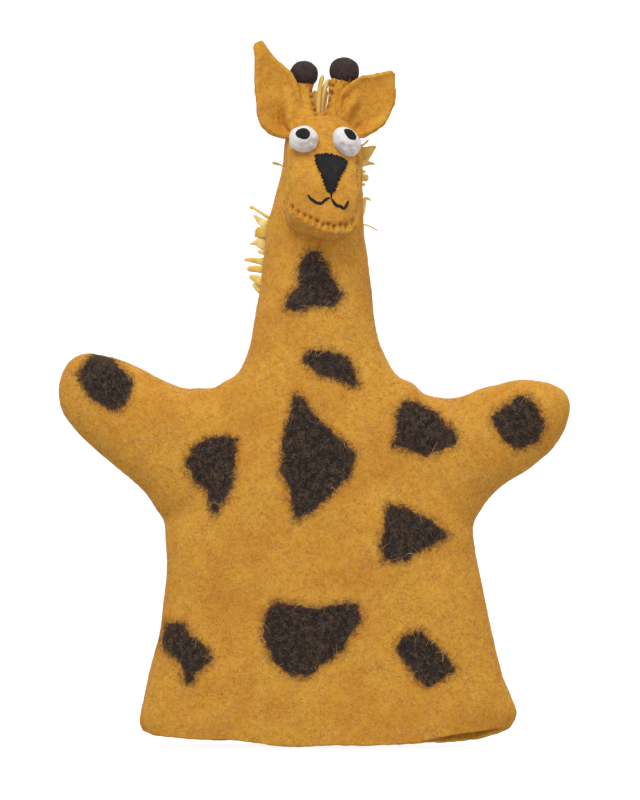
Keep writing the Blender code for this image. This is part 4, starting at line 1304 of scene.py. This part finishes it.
def horn_form(side, spec):
    """A strip of felt rolled up: its outer edge laps over, and its top end is uneven."""
    line = np.array([(z, x, y, r) for x, y, z, r in spec["line"]])
    rings = []
    for i in range(60):
        z = line[0][0] + (line[-1][0] - line[0][0]) * i / 59
        x, y, r = smooth_at(line, z)
        r *= 1.0 + 0.03 * math.sin(i / 4)
        ring = []
        for k in range(56):
            a = 2 * math.pi * k / 56
            lap = (a - math.radians(262)) / (2 * math.pi) % 1
            scallop = max(0.0, i / 59 - 0.8) * 5 * (0.55 * math.sin(3 * a + r) + 0.3 * math.sin(7 * a))
            out = Vector((spec["inward"] * math.cos(a), math.sin(a), 0))
            ring.append(Vector((x, y, z + scallop)) + out * (r * (0.93 + 0.13 * lap)))
        rings.append(ring)
    horn = outwards(mesh_object(f"horn_roll_{side}", *rings_mesh(rings), FELT))
    remesh(horn, 0.45)
    relax(horn, 6)
    return horn


def make_horn(side, spec):
    horn = horn_form(side, spec)
    tree = tree_of(horn)
    marks, strands, made = [], [], []
    for x, z in spec["dents"]:
        here = on_front(tree, x, z)[0]
        reach = Vector((spec["inward"] * 2.6, 1.6, 0.5))
        path = [here, tree.find_nearest(here + reach * 0.5)[0], tree.find_nearest(here + reach)[0]]
        marks += [(path, 0.55, 0.7), ([here], 0.95, 1.1)]
        strands.append((path, rng.random() * 0.6))
    press(horn, marks)
    undulate(horn, 4, 0.35, 9)
    undulate(horn, 1.6, 0.12, 10)
    on_head(horn, "ochre_felt", f"horn_{side}")
    tree = tree_of(horn)
    for line, tone in strands:
        settled = []
        for p, lift in zip(line, (-0.35, 0.12, -0.1)):
            hit, normal, _, _ = tree.find_nearest(p)
            settled.append(hit + normal * lift)
        made.append((thread(catmull(settled, 4), 0.26, 6), tone))
    for x, z, dx, dz in spec["stitches"]:
        spots = ((-1, -0.3), (-0.4, 0.2), (0.4, 0.2), (1, -0.3))
        laid = [on_front(SKULL, x + dx * t, z + dz * t, lift)[0] for t, lift in spots]
        made.append((thread(laid, 0.42, 6), 0.0))
    ball = lumpy_ball(f"horn_tip_{side}", spec["ball"], spec["r"], BALL, 0.2, 0.3, spec["seed"])
    on_head(ball, "dark_wool", f"horn_ball_{side}")
    # stitches that hold the ball on the horn
    both = tree_of(horn, ball)
    x, y, z, _ = spec["line"][-1]
    for k in range(9):
        a = 2 * math.pi * (k + rng.uniform(-0.3, 0.3)) / 9
        direction = Vector((math.cos(a), math.sin(a), 0))
        path = []
        for t, lift in ((-1.3, -0.3), (-0.7, 0.05), (-0.1, 0.05), (0.4, 0.05), (0.9, -0.3)):
            hit = both.ray_cast(Vector((x, y, z + t - 0.9)) + direction * 14, -direction)[0]
            if hit is not None:
                path.append(hit + direction * lift)
        if len(path) > 3:
            made.append((thread(path, 0.3, 6), rng.random() * 0.6))
    on_head(fibres_object(f"horn_stitches_{side}", made, THREAD), "ochre_thread", f"horn_seam_{side}")


# ------------------------------------------------------------------ mane


def behind_neck(z, sign, out):
    """A place just off the back of the neck, this share of its half width out to one side."""
    middle, half, depth = column_at(z)
    return Vector((middle + sign * half * out, (depth + 1.3) * (1 - out**ROUND) ** (1 / ROUND), z))


def some_tone(middle, spread):
    return min(1, max(0, rng.gauss(middle, spread)))


def mane_strip(z0, tip, width, thick, twist):
    """One strip of the fringe, from the band at the back out to its tip, flat against the neck."""
    sign = 1 if tip.x > column_at(z0)[0] else -1
    line = []
    for k in range(5):
        ripple = Vector((0, 0.3 * math.sin(z0 + k), (tip.z - z0) * 0.35 * k / 4))
        line.append(behind_neck(z0, sign, 0.72 * k / 4) + ripple)
    bow = Vector((0, 0.8, rng.uniform(-1.2, 1.2)))
    path = catmull([*line, line[-1].lerp(tip, 0.45) + bow, tip], 4)
    return ribbon(path, [width] * len(path), thick, (sign * 0.2, 1, 0.1), taper=0.10, tip=0.30, twist=twist)


# The fringe beside the head and neck: (across, up, width) from where a piece leaves the neck to its tip
FEATHERS = [
    [(-24.6, 224.1, 1.7), (-28.8, 226.5, 1.1), (-32.0, 228.5, 1.3), (-33.6, 228.9, 1.5)],
    [(-26.2, 221.4, 4.2), (-29.0, 222.9, 2.9), (-30.9, 224.7, 1.5), (-32.0, 225.6, 0.9)],
    [(-26.2, 218.0, 4.8), (-29.5, 218.1, 4.6), (-31.3, 218.4, 4.0)],
    [(-26.5, 213.3, 6.6), (-29.5, 213.7, 4.4), (-31.5, 213.6, 1.7), (-33.9, 213.2, 0.6)],
    [(-27.2, 209.6, 2.4), (-28.8, 209.8, 1.8), (-30.2, 210.2, 1.0)],
    [(-27.2, 205.6, 3.6), (-30.5, 206.0, 2.5), (-33.5, 206.5, 1.7), (-35.8, 206.4, 1.6)],
    [(-27.6, 202.3, 3.6), (-31.5, 202.6, 2.7), (-34.7, 202.6, 2.3)],
    [(-27.8, 197.0, 4.6), (-30.5, 198.2, 3.4), (-33.8, 199.5, 1.7)],
    [(-28.0, 193.4, 4.0), (-30.4, 194.8, 2.8), (-32.2, 196.4, 1.5)],
    [(-18.0, 245.6, 0.7), (-20.5, 246.8, 0.8), (-22.5, 247.4, 1.3), (-24.0, 247.9, 1.0)],
    [(13.0, 254.4, 1.2), (15.8, 256.2, 0.8), (17.1, 257.6, 0.8)],
    [(9.5, 249.0, 8.6), (13.5, 250.6, 8.0), (16.6, 252.4, 5.4), (18.8, 253.9, 2.6), (20.4, 254.8, 0.7)],
    [(11.5, 247.0, 3.0), (15.4, 248.3, 1.8), (16.9, 249.4, 1.0)],
    [(12.0, 246.2, 1.7), (16.2, 247.4, 2.0), (18.2, 247.5, 1.4), (19.8, 247.1, 0.6)],
    [(12.0, 241.7, 4.0), (15.0, 241.4, 3.4), (17.1, 241.3, 2.8)],
    [(12.0, 244.2, 1.8), (14.8, 244.0, 1.5), (15.8, 243.6, 1.0)],
    [(12.0, 237.8, 1.6), (14.4, 238.3, 1.3), (15.7, 238.7, 1.0)],
    [(12.6, 234.0, 2.4), (14.0, 234.4, 2.0), (14.8, 234.2, 1.4)],
    [(13.0, 223.8, 1.2), (14.5, 226.6, 2.0), (14.9, 229.6, 2.3), (15.5, 232.2, 1.8), (17.0, 232.5, 1.1),
     (17.9, 231.5, 0.8)],
    [(12.0, 221.0, 0.55), (15.5, 221.4, 0.6), (18.5, 220.3, 0.55), (21.3, 218.7, 0.5)],
]


# The tuft between the horns: the middle line of each piece, its width and its tone
TUFT = [
    ([(-4.6, -1.0, 266), (-4.2, -0.6, 274), (-3.6, -0.4, 280), (-2.4, -0.2, 285.0)], 1.9, 0.15),
    ([(-3.4, 1.5, 266), (-3.0, 1.5, 273), (-1.8, 1.2, 279), (0.4, 1.0, 283.4)], 2.3, 0.85),
    ([(-5.8, 2.5, 266), (-5.4, 2.5, 272), (-5.8, 2.0, 278.6)], 2.4, 0.9),
    ([(-3.6, 3.5, 266), (-4.0, 3.5, 273), (-3.8, 3.0, 279.5)], 2.2, 1.0),
    ([(-2.2, 3.0, 266), (-1.7, 3.5, 273), (-0.8, 4.0, 279)], 2.0, 0.8),
    ([(-6.4, 7.0, 266), (-7.2, 8.0, 272), (-8.8, 9.5, 277)], 1.6, 0.6),
    ([(-1.0, 7.5, 266), (0.2, 8.5, 271), (2.0, 10.0, 275)], 1.6, 0.5),
    ([(-4.4, 8.0, 267), (-4.8, 9.5, 272), (-4.0, 12.0, 276)], 1.7, 0.9),
    ([(-3.0, 9.0, 266), (-2.6, 11.5, 270), (-1.6, 14.5, 272)], 1.6, 0.65),
    ([(-5.8, 9.0, 266), (-7.4, 11.5, 269), (-9.2, 14.5, 270)], 1.6, 0.75),
]


def feather(spots):
    """A piece of the fringe from the band at the back, round the neck and out to its tip."""
    depth = rng.uniform(4.0, 6.5)
    (_, base_z, first_width), tip_x = spots[0], spots[-1][0]
    middle, half, deep = column_at(base_z)
    sign = 1 if tip_x > middle else -1
    line = [behind_neck(base_z, sign, out) for out in (0.05, 0.3, 0.5)]
    line.append(Vector((middle + sign * half * 0.72, max(deep * 0.72, depth), base_z)))
    widths = [min(first_width * 0.8, 2.6)] * 3 + [first_width]
    for x, z, width in spots:
        line.append(seen_at(x, z, depth + rng.uniform(-0.5, 0.5)))
        widths.append(width)
    path = catmull(line, 5)
    wide = np.interp(np.linspace(0, len(line) - 1, len(path)), range(len(line)), widths)
    wide *= [1 + 0.16 * noise.noise(p / 1.6) for p in path]
    return ribbon(path, wide, rng.uniform(0.7, 0.95), (sign * 0.2, 1, 0.1), sides=10, taper=0.07, tip=0.35)


def make_mane():
    strands = [(feather(spots), some_tone(0.62, 0.22)) for spots in FEATHERS]
    # the rest of the fringe lies flat, and stops short of the neck's edge
    for sign in (1, -1):
        z = 188.5
        while z < 262:
            middle, half, _ = column_at(z)
            reach = half * rng.uniform(0.86, 0.97)
            tip = Vector((middle + sign * reach, rng.uniform(8.5, 10.5), z + rng.uniform(-2.5, 1.5)))
            strip = mane_strip(z, tip, rng.uniform(1.6, 2.4), rng.uniform(0.7, 0.9), rng.uniform(-0.3, 0.3))
            strands.append((strip, some_tone(0.55, 0.25)))
            z += rng.uniform(1.3, 1.9)
    on_head(fibres_object("mane_strips", strands, MANE), "mane_felt", "mane_fringe_left", "mane_fringe_right")

    strands = []
    for spots, width, tone in TUFT:
        line = catmull(spots, 5)
        twist = rng.uniform(-0.3, 0.3)
        strip = ribbon(line, [width] * len(line), 0.9, (0, -1, 0.1), taper=0.12, tip=0.4, twist=twist)
        strands.append((strip, tone))
    on_head(fibres_object("mane_tuft", strands, MANE), "mane_felt", "mane_crest")

    # the band that holds the fringe, with a stitched middle
    back = math.pi / 2
    section = ((-0.17, 0.2), (-0.16, 1.5), (-0.08, 2.3), (0.0, 1.9), (0.08, 2.3), (0.16, 1.5), (0.17, 0.2))
    rings = []
    for k in range(80):
        z = 187 + (266 - 187) * k / 79
        wobble = Vector((0.4 * math.sin(z / 3.1) * 0.3, 0, 0))
        ring = []
        for a, lift in section:
            lift += 0.15 * noise.noise(Vector((a * 9, 0, z / 2)))
            ring.append(column_point(z, back + a, lift) + wobble)
        rings.append(ring + [column_point(z, back + a, -1.0) for a in (0.1, -0.1)])
    band = outwards(mesh_object("mane_band_felt", *rings_mesh(rings), MANE))
    store_number(band, "tone", np.full(len(band.data.vertices), 0.55))
    stitches = [[column_point(z + up, back, 2.0) for up in (0, 1.6)] for z in np.arange(189, 264, 3.4)]
    press(band, [(line, 0.7, 0.9) for line in stitches])
    on_head(band, "mane_felt", "mane_band")


# ------------------------------------------------------------------ loose wool

# Hairs on the glove: name, how many on the body, how deep inside a patch, slot, material, and the ranges of
# tone, length and radius, with the highest loft
HAIRS = [
    ("gold", 5600, (-9, 0.2), "ochre_felt", FIBRE_GOLD, (0.3, 1), (2.5, 6.5), (0.055, 0.095), 0.12),
    ("patch_olive", 3000, (0.3, 7), "dark_wool", FIBRE_OLIVE, (0, 1), (1.4, 3.6), (0.05, 0.080), 0.10),
    ("patch_dark", 2200, (-1.8, 1.2), "dark_wool", FIBRE_DARK, (0, 0.5), (1.5, 4.5), (0.03, 0.055), 0.12),
]


def hairs_on(name, obj, tree, count, keep, material, tones, length, radius, loft):
    """Scatters hairs over an object; tones, length and radius are ranges to draw from."""
    strands = []
    for place, normal in scatter(obj, tree, count, keep):
        hair = fibre(tree, place, normal, rng.uniform(*length), rng.uniform(*radius), rng.uniform(0.05, loft))
        strands.append((hair, rng.uniform(*tones)))
    return fibres_object(name, strands, material) if strands else None


def patch_between(low, high):
    """Picks places above the hem whose depth inside a patch lies between two values."""

    def keep(points):
        depth = patch_depth(points)
        return (points[:, 2] > 1.5) & (depth > low) & (depth < high)

    return keep


def make_fibres(pieces, face):
    """Hairs that stand a little off the felt: gold over the ochre, and both colours about a patch."""
    for zone, obj in pieces.items():
        share = {"glove_body": 1.0, "glove_neck": 0.32}.get(zone, 0.09)
        tree = tree_of(obj)
        for kind, count, (low, high), slot, *look in HAIRS:
            keep = patch_between(low, high)
            hairs = hairs_on(f"{zone}_{kind}", obj, tree, int(count * share), keep, *look)
            if hairs is not None:
                bend(hairs, zone)
    look = (FIBRE_GOLD, (0, 1), (2, 5), (0.05, 0.085), 0.14)
    hairs = hairs_on("face_hairs", face, tree_of(face), 700, lambda p: p[:, 1] < -9, *look)
    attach(hairs, "head")


make_studio()
PIECES = split_glove(make_glove())
SKULL = tree_of(PIECES["glove_neck"])
FACE, THREADS = make_face()
make_chin_stitches(FACE, THREADS)
make_eyes()
make_nose(FACE)
make_mouth(FACE)
for ear_side, ear_spec in EARS.items():
    make_ear(ear_side, ear_spec)
for horn_side, horn_spec in HORNS.items():
    make_horn(horn_side, horn_spec)
make_mane()
make_fibres(PIECES, FACE)
